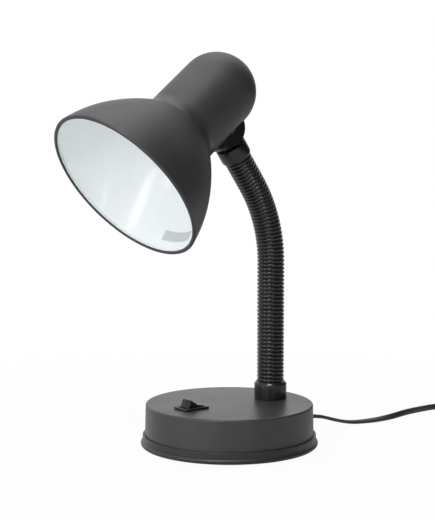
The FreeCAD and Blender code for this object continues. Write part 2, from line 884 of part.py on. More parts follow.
def lampholder_body():
    start = holder_mouth_depth
    end = back_plate_depth
    shoulder = shade_neck_depth + spigot_l
    bore = thread_r + screw_shell_t + fit_gap
    body = disc(holder_r, start, end).fuse(disc(shoulder_r, shoulder, shoulder + shoulder_t))
    pocket_end = end - holder_back_t
    body = body.cut(disc(bore, start - cut_over, pocket_end))
    for x in holder_screw_xs():
        body = body.cut(disc(holder_screw_r + fit_gap, end - 2 * holder_back_t, end + cut_over, x))
    return body


def shade_clamp_ring():
    high = flange_front()
    return ring(clamp_ring_r, holder_r + fit_gap, high - clamp_ring_t, high)


def screw_shell():
    start = holder_mouth_depth + holder_lip
    end = start + screw_shell_l
    outer = thread_r + screw_shell_t
    body = ring(outer, thread_r, start, end)
    return body.fuse(ring(outer, contact_hole_r, end - screw_shell_t, end))


def contact_floor():
    return back_plate_depth - holder_back_t


def centre_contact():
    floor = contact_floor()
    return lathe([
        (0, floor - contact_h),
        (contact_r / 2, floor - contact_h),
        (contact_r, floor),
        (0, floor),
    ])


def side_contact():
    start = holder_mouth_depth + holder_lip + screw_shell_l
    x = thread_r - side_contact_w / 2 - screw_shell_t
    return block(x, 0, start, side_contact_w, side_contact_w, contact_floor())


def holder_screw_xs():
    return (-holder_screw_spacing / 2, holder_screw_spacing / 2)


def holder_screws():
    low = back_plate_depth + back_plate_t
    tip = back_plate_depth - holder_back_t + run_gap
    return group([screw(x, 0, low, low + holder_screw_head_h, tip, holder_screw_r, holder_screw_head_r)
                  for x in holder_screw_xs()])


def holder_terminals():
    low = back_plate_depth
    blocks = []
    for side in (-1, 1):
        x = side * terminal_offset
        body = block(x, 0, low, terminal_w, terminal_l, low + terminal_h)
        blocks.append(body.fuse(disc(terminal_screw_r, low, low + terminal_h + run_gap, x)))
    return group(blocks)


def head_leads():
    """Cores from the ball's open flat round the plate to the terminals."""
    low = back_plate_depth
    leads = []
    for side in (-1, 1):
        x = side * terminal_offset
        route = smooth_path([
            (x, terminal_l / 2 + fit_gap, low + terminal_h / 2),
            (x, knuckle_flat / 2, low + terminal_h / 2),
            (x - side * lead_d, knuckle_flat - lead_d, low + back_plate_t),
            (x - side * lead_d, knuckle_flat - lead_d / 2 - fit_gap, low - lead_d),
        ], "head lead")
        leads.append(sweep_round(route, lead_d, "head lead"))
    return group(leads)


def biarc(start, start_tangent, end, end_tangent):
    """Two tangent arcs from one point and direction to another."""
    chord = end - start
    both = start_tangent + end_tangent
    bend = 2 * (1 - start_tangent.dot(end_tangent))
    span = chord.dot(both)
    if bend < PARALLEL_LIMIT:
        reach = chord.dot(chord) / (2 * span)
    else:
        reach = (-span + math.sqrt(span * span + bend * chord.dot(chord))) / bend
    joint = ((start + start_tangent * reach) + (end - end_tangent * reach)) * (1 / 2)
    return [tangent_arc(start, start_tangent, joint), tangent_arc(end, end_tangent * -1, joint)]


def tangent_arc(start, tangent, end):
    chord = end - start
    sideways = chord - tangent * chord.dot(tangent)
    across = V(sideways).normalize()
    radius = chord.dot(chord) / (2 * sideways.Length)
    centre = start + across * radius
    middle_way = ((start - centre).normalize() + (end - centre).normalize()).normalize()
    return start, centre + middle_way * radius, end


def coil_point(turns):
    """Place and direction on the coil, clockwise from its left side, the coil's centre at the origin."""
    half_turn = 1 / 2
    inner_r = coil_r - coil_turns_down * coil_pitch
    angle = math.pi - 2 * math.pi * turns
    if turns <= coil_turns_down:
        radius = coil_r - coil_pitch * turns
        growth = -coil_pitch
        height = 0
        climb = 0
    elif turns < coil_turns_down + half_turn:
        share = (turns - coil_turns_down) / half_turn
        radius = inner_r
        growth = coil_pitch * (2 * share - 1)
        height = coil_layer_h * share * share * (3 - 2 * share)
        climb = coil_layer_h * 6 * share * (1 - share) / half_turn
    else:
        radius = inner_r + coil_pitch * (turns - coil_turns_down - half_turn)
        growth = coil_pitch
        height = coil_layer_h
        climb = 0
    out = V(math.cos(angle), math.sin(angle), 0)
    along = V(math.sin(angle), -math.cos(angle), 0)
    place = out * radius + V(0, 0, height)
    direction = (along * (2 * math.pi * radius) + out * growth + V(0, 0, climb)).normalize()
    return place, direction


def coil_wire():
    """The coil's centre line, joined to the end of the hand-made route, with straight ends."""
    before = V(*cord_route[-2])
    join = V(*cord_route[-1])
    incoming = (join - before).normalize()
    total = coil_turns_down + 1 / 2 + coil_turns_up
    steps = round(total * coil_steps_per_turn)
    first, first_way = coil_point(0)
    twist = math.degrees(math.atan2(incoming.y, incoming.x) - math.atan2(first_way.y, first_way.x))
    turn = FreeCAD.Rotation(UP, twist)
    shift = join + incoming * cord_d - turn.multVec(first)
    edges = [Part.LineSegment(join, join + incoming * cord_d).toShape()]
    place, way = turn.multVec(first) + shift, incoming
    for k in range(1, steps + 1):
        next_place, next_way = coil_point(k * total / steps)
        next_place = turn.multVec(next_place) + shift
        next_way = turn.multVec(next_way)
        first_arc, second_arc = biarc(place, way, next_place, next_way)
        edges.append(Part.Arc(*(V(p) for p in first_arc)).toShape())
        edges.append(Part.Arc(*(V(p) for p in reversed(second_arc))).toShape())
        place, way = next_place, next_way
    tail = place + way * coil_tail_l
    edges.append(Part.LineSegment(place, tail).toShape())
    return Part.Wire(edges), tail, way


def least_gap(wire, diameter):
    """Least gap of the coil's tube to itself, from points a millimetre or so apart."""
    count = int(wire.Length)
    points = wire.discretize(Number=count)
    skip = int(coil_near_run * count / wire.Length)
    least = min((points[i] - points[j]).Length for i in range(count) for j in range(i + skip, count))
    return least - diameter


def cord_coil():
    wire = coil_wire()[0]
    print("coil length", round(wire.Length, 1), "least gap to itself", round(least_gap(wire, cord_d), 2))
    return sweep_round(wire, cord_d, "coil")


def in_plug_place(shape):
    """From the plug's own frame (cord end at the origin, pins along +X) to the end of the coil."""
    _, tail, way = coil_wire()
    moved = shape.copy()
    moved.rotate(ORIGIN, UP, math.degrees(math.atan2(way.y, way.x)))
    moved.translate(tail)
    return moved


def plug_section(x, width, thickness, radius):
    half_w = width / 2
    half_t = thickness / 2
    corners = [(half_w, half_t), (-half_w, half_t), (-half_w, -half_t), (half_w, -half_t)]
    edges = []
    diagonal = radius * (1 - math.sqrt(1 / 2))
    last = None
    first = None
    for y, z in corners:
        sy = 1 if y > 0 else -1
        sz = 1 if z > 0 else -1
        ends = [V(x, y, z - sz * radius), V(x, y - sy * radius, z)]
        if sy * sz < 0:
            ends.reverse()
        if last is not None:
            edges.append(Part.LineSegment(last, ends[0]).toShape())
        middle = V(x, y - sy * diagonal, z - sz * diagonal)
        edges.append(Part.Arc(ends[0], middle, ends[1]).toShape())
        last = ends[1]
        first = first or ends[0]
    edges.append(Part.LineSegment(last, first).toShape())
    return Part.Wire(edges)


def plug_body():
    neck_end = plug_boot_l
    shoulder_end = neck_end + plug_shoulder_l
    face = shoulder_end + plug_body_l
    neck = plug_section(neck_end, plug_back_w, plug_back_t, plug_edge_r)
    shoulder = plug_section(shoulder_end, plug_face_w, plug_t, plug_edge_r)
    front = plug_section(face, plug_face_w, plug_t, plug_edge_r)
    body = Part.makeLoft([neck, shoulder, front], True, True)
    body = body.fuse(Part.makeCylinder(plug_boot_r, neck_end + plug_edge_r, ORIGIN, ACROSS))
    for side in (-1, 1):
        seat = V(face - plug_pin_seat, side * plug_pin_spacing / 2, 0)
        body = body.cut(Part.makeCylinder(plug_pin_r, plug_pin_seat + cut_over, seat, ACROSS))
    return in_plug_place(body)


def plug_pins():
    face = plug_boot_l + plug_shoulder_l + plug_body_l
    pins = []
    for side in (-1, 1):
        seat = V(face - plug_pin_seat, side * plug_pin_spacing / 2, 0)
        length = plug_pin_l + plug_pin_seat - plug_pin_r
        pin = Part.makeCylinder(plug_pin_r, length, seat, ACROSS)
        pins.append(pin.fuse(Part.makeSphere(plug_pin_r, seat + ACROSS * length)))
    return in_plug_place(group(pins))


def at_foot(shape):
    moved = shape.copy()
    moved.translate(V(0, arm_back, 0))
    return moved


def at_rim(shape):
    return in_arm_plane(on_arm(shape, arm_length))


parts["base_shell"] = base_shell()
parts["bottom_cover"] = bottom_cover()
parts["foot_ring"] = foot_ring()
parts["base_screws"] = base_screws()
parts["ballast"] = ballast()
parts["switch_housing"] = switch_housing()
parts["switch_rocker"] = switch_rocker()
parts["switch_terminals"] = switch_terminals()
parts["strain_relief"] = strain_relief()
parts["inner_cord"] = inner_cord()
parts["cord_clamp"] = cord_clamp()
parts["clamp_screws"] = clamp_screws()
parts["base_leads"] = base_leads()
parts["arm_nipple"] = at_foot(nipple())
parts["nipple_washer"] = at_foot(nipple_washer())
parts["nipple_nut"] = at_foot(nipple_nut())
parts["lower_collar"] = at_foot(lower_collar())
for number in range(station_count + 1):
    parts["arm_conduit_%d" % number] = in_arm_plane(conduit(number))
for number in range(1, station_count + 1):
    parts["arm_sleeve_%d" % number] = in_arm_plane(sleeve(number))
parts["upper_collar"] = at_rim(upper_collar())
parts["knuckle_stem"] = at_rim(knuckle_stem())
parts["head_knuckle"] = on_head(head_knuckle())
parts["pivot_screw"] = on_head(pivot_screw())
parts["pivot_nut"] = on_head(pivot_nut())
parts["friction_washers"] = on_head(friction_washers())
parts["bell_shade"] = on_head(bell_shade())
parts["white_liner"] = on_head(white_liner())
parts["blank_sticker"] = on_head(blank_sticker())
parts["socket_cover"] = on_head(socket_cover())
parts["lampholder_body"] = on_head(lampholder_body())
parts["shade_clamp_ring"] = on_head(shade_clamp_ring())
parts["screw_shell"] = on_head(screw_shell())
parts["centre_contact"] = on_head(centre_contact())
parts["side_contact"] = on_head(side_contact())
parts["holder_screws"] = on_head(holder_screws())
parts["holder_terminals"] = on_head(holder_terminals())
parts["head_leads"] = on_head(head_leads())
parts["cord_tube"] = sweep_round(smooth_path(cord_route, "cord"), cord_d, "cord")
parts["cord_coil"] = cord_coil()
parts["plug_body"] = plug_body()
parts["plug_pins"] = plug_pins()

os.makedirs("parts", exist_ok=True)
for name, shape in parts.items():
    shape.exportStep("parts/%s.step" % name)
    if not shape.isValid():
        print(name, "is not valid")
    print(name, "solids", len(shape.Solids), "volume", round(shape.Volume, 1))
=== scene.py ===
"""Gooseneck desk lamp: the looks of every visible piece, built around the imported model."""

import math

import bmesh
import bpy
from mathutils import Matrix, Vector


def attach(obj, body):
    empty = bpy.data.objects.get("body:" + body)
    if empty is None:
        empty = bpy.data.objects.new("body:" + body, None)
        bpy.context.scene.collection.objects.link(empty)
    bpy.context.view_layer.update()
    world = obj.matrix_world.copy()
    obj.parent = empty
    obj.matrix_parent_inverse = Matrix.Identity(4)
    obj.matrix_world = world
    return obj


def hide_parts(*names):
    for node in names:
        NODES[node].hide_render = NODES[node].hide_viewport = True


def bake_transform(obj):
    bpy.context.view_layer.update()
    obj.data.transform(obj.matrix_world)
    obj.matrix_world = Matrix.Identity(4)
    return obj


bl_info = {
    "name": "Gooseneck Desk Lamp",
    "version": (1, 0, 0),
    "blender": (4, 5, 0),
    "location": "View3D > Sidebar > Desk Lamp",
    "description": "Builds the pieces, finishes and studio of a gooseneck desk lamp",
    "category": "Add Mesh",
}

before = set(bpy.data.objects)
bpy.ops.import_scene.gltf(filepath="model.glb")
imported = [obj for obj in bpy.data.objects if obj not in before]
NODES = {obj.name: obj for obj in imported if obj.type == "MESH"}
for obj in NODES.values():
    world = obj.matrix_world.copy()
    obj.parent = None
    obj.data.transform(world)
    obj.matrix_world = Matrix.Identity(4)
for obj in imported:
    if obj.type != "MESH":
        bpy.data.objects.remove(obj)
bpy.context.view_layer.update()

# Sizes are in millimetres, unless a comment says metres, and points within WELD metres are merged
MM = 0.001
WELD = 1e-6
UP = Vector((0, 0, 1))
QUARTER_TURN = math.pi / 2
FULL_TURN = 2 * math.pi
FEW_SIDES = 32
MANY_SIDES = 128
FLAT_ANGLE = math.radians(1.0)
SHARP_ANGLE = math.radians(30.0)

# The arm: its foot on the base, then the straight, the arc and the straight of its centre line
BASE_TOP = 31.6
ARM_TURN = math.radians(9.8)
ARM_BACK = 35.5
ARM_STRAIGHT = 101.3
ARM_BEND_R = 100.0
ARM_LEAN = math.radians(36.0)
ARM_ARC = ARM_LEAN * ARM_BEND_R
ARM_TOP_STRAIGHT = 35.0
ARM_LENGTH = ARM_STRAIGHT + ARM_ARC + ARM_TOP_STRAIGHT

# The gooseneck's skin along that line, and one rib of it as shares of its pitch and of its depth
HOSE_START = 4.4
HOSE_END = 193.03
SLEEVES = 6
SLEEVE_LENGTH = (HOSE_END - HOSE_START) / SLEEVES
RIB = ((0.0, 0.0), (0.07, 0.06), (0.13, 0.40), (0.19, 0.78), (0.27, 0.94), (0.38, 1.0), (0.62, 1.0),
       (0.73, 0.94), (0.81, 0.78), (0.87, 0.40), (0.93, 0.06), (1.0, 0.0))

# The head's own frame: rim plane at zero, +Z backwards, turned about the knuckle's pin
PIVOT_OVER_RIM = 15.0
PIVOT_DEPTH = 92.0
PIVOT_OFFSET = 22.2
HEAD_TIP = math.radians(38.5 - 90.0)

# The knuckle's flat cheeks and the caps on them, and the pivot bolt's end
CHEEK = 11.2
PIVOT_CAP = ((0.1, 1.0), (2.4, 0.98), (3.5, 0.85), (3.92, 0.55), (3.95, 0.2), (3.95, -0.3), (0.1, -0.3))
PIVOT_CAP_SIDES = 40
BOLT_END = 12.0

# The shade: its rim's bead, the white lip over it (degrees round the bead, and its two reaches past the bead),
# and the fillet where the cover meets the bell
RIM_BEAD_AT = (59.6, 1.4)
RIM_BEAD_R = 1.4
LIP_ANGLES = (118, 135, 155, 175, 192)
LIP_OUTER = 0.08
LIP_INNER = 0.01
LIP_BACK = (58.86, 3.1)
NECK = ((28.06, 66.0), (28.12, 63.0), (28.5, 60.9), (29.3, 59.0), (30.5, 57.2), (32.4, 54.6), (30.0, 55.6),
        (28.0, 59.0), (28.06, 66.0))

# The lampholder's rolled thread and the plain wall round it
THREAD_R = 13.4
THREAD_CREST_R = 12.3
THREAD_PITCH = 3.63
THREAD_TURNS = 6
THREAD_STEPS = 8
THREAD_SIDES = 48
THREAD_START = 65.4
THREAD_SKIN = 0.2
THREAD_WALL = ((13.55, 64.0), (13.7, 64.0), (13.7, 92.0), (5.0, 92.0), (5.0, 91.6), (13.55, 91.6),
               (13.55, 64.0))

# Screws by head radius and height, shaft radius and length, and the cover screws' circle, height and angles
BOLT_SIZE = (3.6, 2.4, 2.0, 22.8)
COVER_SCREW_SIZE = (3.0, 1.2, 1.2, 13.9)
COVER_SCREW_R = 44.0
COVER_SCREW_Z = 0.4
COVER_SCREW_ANGLES = (60, 180, 300)

# The foam ring under the base
FOOT_RING = ((59.3, 1.6), (59.5, 1.3), (59.4, 0.35), (58.9, 0.0), (50.6, 0.0), (50.1, 0.35), (50.0, 1.3),
             (50.2, 1.6), (59.3, 1.6))

# The strain relief along its own line from the base's back wall: its root, its ribs (each one as changes of
# radius and height) and its tip
RELIEF_AT = (0, 61.7, 13.6)
RELIEF_SIDES = 48
RELIEF_ROOT = ((2.0, -9.1), (2.7, -9.1), (2.78, -3.55), (4.1, -3.5), (4.2, -3.3), (4.2, -2.0), (4.1, -1.9),
               (2.8, -1.9), (2.8, 0.3), (4.1, 0.3), (4.2, 0.5), (4.2, 1.3), (3.9, 1.6))
RELIEF_RIBS = 5
RELIEF_RIB_START = 2.0
RELIEF_RIB_PITCH = 1.8
RELIEF_RIB_R = 3.5
RELIEF_RIB_TAPER = 0.2
RELIEF_RIB = ((-0.55, 0.0), (-0.55, 0.5), (0.0, 0.8), (-0.05, 1.5))
RELIEF_TIP = ((2.4, 11.3), (2.0, 11.6), (2.0, -9.1))

# The cord's exit in metres, and its route from there as places and tilts in degrees
CORD_ROUTE = (
    (0.0, 73.5, 13.6, 0),
    (0.0, 80.0, 13.0, 0),
    (-2.5, 91.0, 9.4, 0),
    (-7.0, 104.0, 5.2, 0),
    (-10.6, 117.0, 2.2, 5),
    (-10.6, 129.0, 1.5, 10),
    (-9.2, 142.0, 1.9, 25),
    (-12.5, 158.0, 2.0, 50),
    (-17.5, 173.0, 2.4, 75),
    (-22.0, 190.0, 2.4, 90),
    (-25.0, 213.0, 2.4, 90),
    (-23.0, 233.0, 2.4, 90),
)
SECTION_POINTS = 24
GROOVE_WIDTH = 0.45

# The coil that follows, with turns in, a climb and turns out above, then the tail to the plug, and the
# height the plug lies at
COIL_R = 33.0
COIL_PITCH = 4.8
COIL_LAYER = 5.0
COIL_TURNS_IN = 4.0
COIL_CLIMB = 0.5
COIL_TURNS_OUT = 3.75
COIL_TURNS = COIL_TURNS_IN + COIL_CLIMB + COIL_TURNS_OUT
COIL_LEAD = 3.75
COIL_POINTS_PER_TURN = 12
COIL_TAIL = 20.0
PLUG_HEIGHT = 6.9

# The plug along its own +X from the cord's end: its body, the grip's two steps back from it (shares of width
# and height, and the face's place), its rounding, its sunk panels with their share of the height, its boot, and
# its pins' sleeves
PLUG_BODY_AT = 30.5
PLUG_BODY = (19.0, 35.0, 13.4)
GRIP_STEP = 7.0
GRIP_STEPS = ((0.66, 0.84, 14.0), (0.61, 0.88, 7.0))
PLUG_ROUND = 1.6
PANEL_START = 23.5
PANEL_INSET = 2.2
PANEL_SHARE = 0.9
BOOT = ((3.1, 8.0), (3.1, 6.4), (2.6, 6.0), (2.6, 5.2), (3.0, 4.8), (3.0, 3.9), (2.5, 3.5), (2.5, 2.7),
        (2.9, 2.3), (2.9, 1.3), (2.5, 0.9), (2.4, 0.0), (0.4, 0.0))
PIN_OFFSET = 9.0
PIN_SLEEVE = ((1.9, 39.6), (1.99, 39.6), (2.03, 39.9), (2.03, 49.6), (1.99, 49.9), (1.9, 49.9), (1.9, 39.6))

# The cord and the cores inside the base and the head (the head's in its own frame)
CORE_WIDTH = 1.8
INNER_CORD = ((0.0, 73.5, 13.6), (0.0, 62.0, 13.6), (0.0, 50.0, 13.6), (0.0, 39.9, 13.6))
BASE_CORES = (
    ((0.93, 39.74, 13.6), (0.93, 35.24, 13.6), (10.8, 30.74, 18.4), (10.8, 17.0, 18.4), (9.94, -11.17, 18.4),
     (12.68, -29.77, 18.4)),
    ((-3.54, -32.16, 18.4), (-6.29, -13.56, 18.4), (-8.0, 17.0, 18.4), (-1.26, 31.5, 19.2), (0.0, 35.5, 22.8)),
)
HEAD_CORES = (
    ((-12.4, 3.05, 102.5), (-12.4, 8.7, 102.5), (-10.6, 15.6, 103.5), (-10.6, 16.45, 98.7)),
    ((12.4, 3.05, 102.5), (12.4, 8.7, 102.5), (10.6, 15.6, 103.5), (10.6, 16.45, 98.7)),
)

# The finishes: a colour or the setting that holds it, the dust's colour and amount, the lowest and highest
# roughness, the grain's scale and bump, and what else isn't plain
BUMP_DISTANCE = 0.2
FINISHES = {
    "Shade Coat": dict(colour="shade", dust=(0.075, 0.075, 0.078), amount=0.10, rough=(0.44, 0.53),
                       grain=2600.0, bump=0.05),
    "Base Coat": dict(colour="base", dust=(0.075, 0.075, 0.078), amount=0.12, rough=(0.34, 0.42),
                      grain=2400.0, bump=0.05),
    "Gloss Black Plastic": dict(colour="gloss", dust=(0.035, 0.035, 0.035), amount=0.10, rough=(0.22, 0.32),
                                grain=1500.0, bump=0.01, specular=0.4),
    "Satin Black Plastic": dict(colour="gloss", dust=(0.04, 0.04, 0.04), amount=0.15, rough=(0.36, 0.46),
                                grain=2000.0, bump=0.03),
    "Knuckle Gloss": dict(colour=(0.005, 0.005, 0.005), dust=(0.012, 0.012, 0.012), amount=0.10,
                          rough=(0.20, 0.28), grain=1500.0, bump=0.008, specular=0.3),
    "Gooseneck Skin": dict(colour=(0.006, 0.006, 0.0065), dust=(0.02, 0.02, 0.02), amount=0.10,
                           rough=(0.15, 0.22), grain=1500.0, bump=0.006),
    "Cord Sheath": dict(colour=(0.020, 0.020, 0.021), dust=(0.07, 0.07, 0.07), amount=0.2, rough=(0.34, 0.46),
                        grain=1600.0, bump=0.06),
    "Foam Rubber": dict(colour=(0.022, 0.022, 0.022), dust=(0.08, 0.08, 0.075), amount=0.35,
                        rough=(0.80, 0.95), grain=900.0, bump=0.6),
    "Zinc Steel": dict(colour=(0.56, 0.56, 0.58), dust=(0.40, 0.40, 0.41), amount=0.3, rough=(0.26, 0.44),
                       grain=700.0, bump=0.06, metallic=1.0),
    "Drawn Steel": dict(colour=(0.46, 0.46, 0.47), dust=(0.33, 0.33, 0.34), amount=0.3, rough=(0.30, 0.48),
                        grain=500.0, bump=0.08, metallic=1.0, stretch=(1, 1, 0.08)),
    "Contact Brass": dict(colour=(0.72, 0.53, 0.22), dust=(0.48, 0.34, 0.14), amount=0.35, rough=(0.24, 0.40),
                          grain=800.0, bump=0.05, metallic=1.0),
    "Nickel Plate": dict(colour=(0.66, 0.65, 0.62), dust=(0.50, 0.49, 0.46), amount=0.25, rough=(0.18, 0.30),
                         grain=900.0, bump=0.04, metallic=1.0),
    "Cast Iron": dict(colour=(0.12, 0.115, 0.11), dust=(0.22, 0.13, 0.08), amount=0.4, rough=(0.62, 0.85),
                      grain=420.0, bump=0.8, metallic=0.7),
    "Lead Sheath": dict(colour=(0.05, 0.09, 0.32), dust=(0.12, 0.15, 0.30), amount=0.2, rough=(0.38, 0.5),
                        grain=1500.0, bump=0.05),
    "White Enamel": dict(colour="inside", dust=(0.66, 0.68, 0.68), amount=0.10, rough=(0.34, 0.46),
                         grain=1200.0, bump=0.01, coat=0.5, coat_rough=0.14),
    "Blank Sticker": dict(colour=(0.56, 0.59, 0.595), dust=(0.42, 0.44, 0.44), amount=0.35,
                          rough=(0.42, 0.60), grain=3000.0, bump=0.05),
}

# The camera: the photograph's focal length and height in pixels, its place in metres, its heading and its pitch
PHOTO_FOCAL = 1384.3
PHOTO_HEIGHT = 520
CAMERA_PLACE = (0.8617, -0.5075, 0.2354)
CAMERA_HEADING = math.radians(30)
CAMERA_PITCH = math.radians(5.64)

# The studio in metres: the floor's side and drop and its mirrored share, the bright side of the room, and each
# light's place, aim, width, height and watts
FLOOR_SIDE = 12.0
FLOOR_DROP = 0.0004
FLOOR_MIRRORED = 0.15
BACKDROP_SIDE = (-0.798, -0.249, 0.549)
STUDIO_LIGHTS = (
    ("Left Strip", (1.08, -1.53, 0.95), (0.02, -0.06, 0.20), (0.40, 1.70), 15.0),
    ("High Front", (0.75, -0.62, 1.45), (0.0, -0.03, 0.25), (0.45, 0.45), 14.0),
    ("Right Strip", (1.47, -0.32, 0.45), (0.02, -0.06, 0.18), (0.08, 1.00), 2.0),
    ("Overhead", (-0.30, 0.10, 1.70), (0.0, 0.0, 0.10), (1.40, 1.40), 8.5),
    ("Low Fill", (0.20, -1.60, 0.30), (0.0, 0.0, 0.15), (0.50, 0.60), 4.5),
)


class CordSizes(bpy.types.PropertyGroup):
    width: bpy.props.FloatProperty(
        name="Cord width", description="Width of the flat two-core cord", default=0.0048, min=0.001,
        unit="LENGTH")
    thickness: bpy.props.FloatProperty(
        name="Cord thickness", description="Thickness of the flat cord", default=0.0026, min=0.001,
        unit="LENGTH")
    groove: bpy.props.FloatProperty(
        name="Cord groove", description="Depth of the shallow groove between the cores", default=0.00018,
        min=0.0, unit="LENGTH")


class ArmSizes(bpy.types.PropertyGroup):
    crest_radius: bpy.props.FloatProperty(
        name="Rib radius", description="Radius over the ribs of the gooseneck", default=0.010, min=0.002,
        unit="LENGTH")
    rib_depth: bpy.props.FloatProperty(
        name="Rib depth", description="Depth of the grooves between ribs", default=0.0009, min=0.0001,
        unit="LENGTH")
    wall: bpy.props.FloatProperty(
        name="Skin thickness", description="Wall of the gooseneck's skin", default=0.0008, min=0.0002,
        unit="LENGTH")
    ribs: bpy.props.IntProperty(
        name="Ribs per sleeve", description="Number of ribs on each sixth of the gooseneck", default=11, min=4)


class Colours(bpy.types.PropertyGroup):
    shade: bpy.props.FloatVectorProperty(
        name="Shade coat", description="Matt black coat of the shade and its cover", subtype="COLOR",
        default=(0.022, 0.022, 0.0235), min=0.0, max=1.0)
    base: bpy.props.FloatVectorProperty(
        name="Base coat", description="Matt black of the base", subtype="COLOR",
        default=(0.022, 0.022, 0.0235), min=0.0, max=1.0)
    gloss: bpy.props.FloatVectorProperty(
        name="Glossy plastic", description="Black plastic of the collars, switch, lampholder and plug",
        subtype="COLOR", default=(0.010, 0.010, 0.011), min=0.0, max=1.0)
    inside: bpy.props.FloatVectorProperty(
        name="White enamel", description="White inside of the shade", subtype="COLOR",
        default=(0.86, 0.90, 0.915), min=0.0, max=1.0)
    floor: bpy.props.FloatVectorProperty(
        name="Floor", description="Pale floor and backdrop", subtype="COLOR",
        default=(0.58, 0.58, 0.58), min=0.0, max=1.0)


def settings(name):
    return getattr(bpy.context.scene, name)


def place(*millimetres):
    return Vector(millimetres) * MM


def move(*millimetres):
    return Matrix.Translation(place(*millimetres))


def quarter(axis, side=1):
    return Matrix.Rotation(side * QUARTER_TURN, 4, axis)


def arm_place(length):
    """Matrix of a place on the arm's centre line, +Z along the arm, a length in millimetres above the base."""
    turn = min(max(length - ARM_STRAIGHT, 0.0), ARM_ARC) / ARM_BEND_R
    rest = max(length - ARM_STRAIGHT - ARM_ARC, 0.0)
    forward = ARM_BEND_R * (1 - math.cos(turn)) + rest * math.sin(turn)
    height = BASE_TOP + min(length, ARM_STRAIGHT) + ARM_BEND_R * math.sin(turn) + rest * math.cos(turn)
    foot = move(0, ARM_BACK, 0) @ Matrix.Rotation(ARM_TURN, 4, "Z")
    return foot @ move(0, -forward, height) @ Matrix.Rotation(turn, 4, "X")


def head_frame():
    pivot = arm_place(ARM_LENGTH + PIVOT_OVER_RIM).translation
    tipped = Matrix.Rotation(ARM_TURN, 4, "Z") @ Matrix.Rotation(HEAD_TIP, 4, "X")
    return Matrix.Translation(pivot) @ tipped @ move(0, -PIVOT_OFFSET, -PIVOT_DEPTH)


def pivot_place(across):
    """Matrix of a place on the knuckle's pin, in line with the head's frame."""
    return head_frame() @ move(across, PIVOT_OFFSET, PIVOT_DEPTH)


def add_object(name, data):
    piece = bpy.data.objects.new(name, data)
    bpy.context.scene.collection.objects.link(piece)
    return piece


def face_along(thing, way):
    """Turns a camera or a light to look along a direction."""
    thing.rotation_euler = way.to_track_quat("-Z", "Y").to_euler()


def deselect_all():
    if bpy.context.object and bpy.context.object.mode != "OBJECT":
        bpy.ops.object.mode_set(mode="OBJECT")
    bpy.ops.object.select_all(action="DESELECT")


def make_active(piece):
    deselect_all()
    piece.select_set(True)
    bpy.context.view_layer.objects.active = piece


def apply_place():
    bpy.ops.object.transform_apply(location=True, rotation=True, scale=True)


def edit(piece, kind="FACE"):
    """Opens a piece in edit mode with all of it selected."""
    make_active(piece)
    bpy.ops.object.mode_set(mode="EDIT")
    bpy.ops.mesh.select_mode(type=kind)
    bpy.ops.mesh.select_all(action="SELECT")


def done():
    bpy.ops.object.mode_set(mode="OBJECT")


def pick_faces(piece, test):
    """Selects, in edit mode, the faces whose middle and normal pass the test."""
    bpy.ops.mesh.select_all(action="DESELECT")
    mesh = bmesh.from_edit_mesh(piece.data)
    for face in mesh.faces:
        if test(face.calc_center_median(), face.normal):
            face.select = True
    mesh.select_flush_mode()
    bmesh.update_edit_mesh(piece.data)


def weld(piece):
    """Merges what lies on the same spot, and turns the faces outwards."""
    edit(piece, "EDGE")
    bpy.ops.mesh.remove_doubles(threshold=WELD)
    bpy.ops.mesh.normals_make_consistent(inside=False)
    done()


def close_ends(piece):
    edit(piece, "EDGE")
    bpy.ops.mesh.fill_holes(sides=0)
    bpy.ops.mesh.normals_make_consistent(inside=False)
    done()


def turned(profile, sides=64):
    """A turned wall about +Z, drawn ring by ring from (radius, height) pairs in millimetres."""
    radius, height = profile[0]
    deselect_all()
    bpy.ops.mesh.primitive_circle_add(vertices=sides, radius=radius * MM, location=(0, 0, height * MM))
    piece = bpy.context.active_object
    apply_place()
    edit(piece, "EDGE")
    for new_radius, new_height in profile[1:]:
        rise = (new_height - height) * MM
        bpy.ops.mesh.extrude_edges_move(TRANSFORM_OT_translate={"value": (0, 0, rise)})
        grow = new_radius / radius
        bpy.ops.transform.resize(value=(grow, grow, 1), center_override=(0, 0, new_height * MM))
        radius, height = new_radius, new_height
    weld(piece)
    return piece


def modify(piece, kind, **values):
    make_active(piece)
    modifier = piece.modifiers.new(kind.title(), kind)
    for key, value in values.items():
        setattr(modifier, key, value)
    bpy.ops.object.modifier_apply(modifier=modifier.name)


def settle(piece, matrix):
    """Puts the finished piece at its place, with that place in its mesh."""
    make_active(piece)
    piece.matrix_world = matrix @ piece.matrix_world
    apply_place()


def smooth(piece, degrees):
    make_active(piece)
    bpy.ops.object.shade_smooth_by_angle(angle=math.radians(degrees))


def join(first, *others):
    make_active(first)
    for other in others:
        other.select_set(True)
    bpy.ops.object.join()
    return first


def copies(piece, matrices):
    """One object with a copy of the piece at each place."""
    placed = []
    for matrix in matrices:
        twin = add_object(piece.name, piece.data.copy())
        settle(twin, matrix)
        placed.append(twin)
    join(*placed)
    bpy.data.objects.remove(piece)
    return placed[0]


def softened(node, width):
    """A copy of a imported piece, merged, with its sharp edges rounded by a width in millimetres."""
    piece = add_object(node + "_soft", NODES[node].data.copy())
    edit(piece, "VERT")
    bpy.ops.mesh.customdata_custom_splitnormals_clear()
    bpy.ops.mesh.remove_doubles(threshold=2 * WELD)
    bpy.ops.mesh.dissolve_limited(angle_limit=FLAT_ANGLE, delimit=set())
    done()
    modify(piece, "BEVEL", width=width * MM, segments=3, limit_method="ANGLE", angle_limit=SHARP_ANGLE,
           use_clamp_overlap=True, miter_outer="MITER_ARC")
    smooth(piece, 40)
    return piece


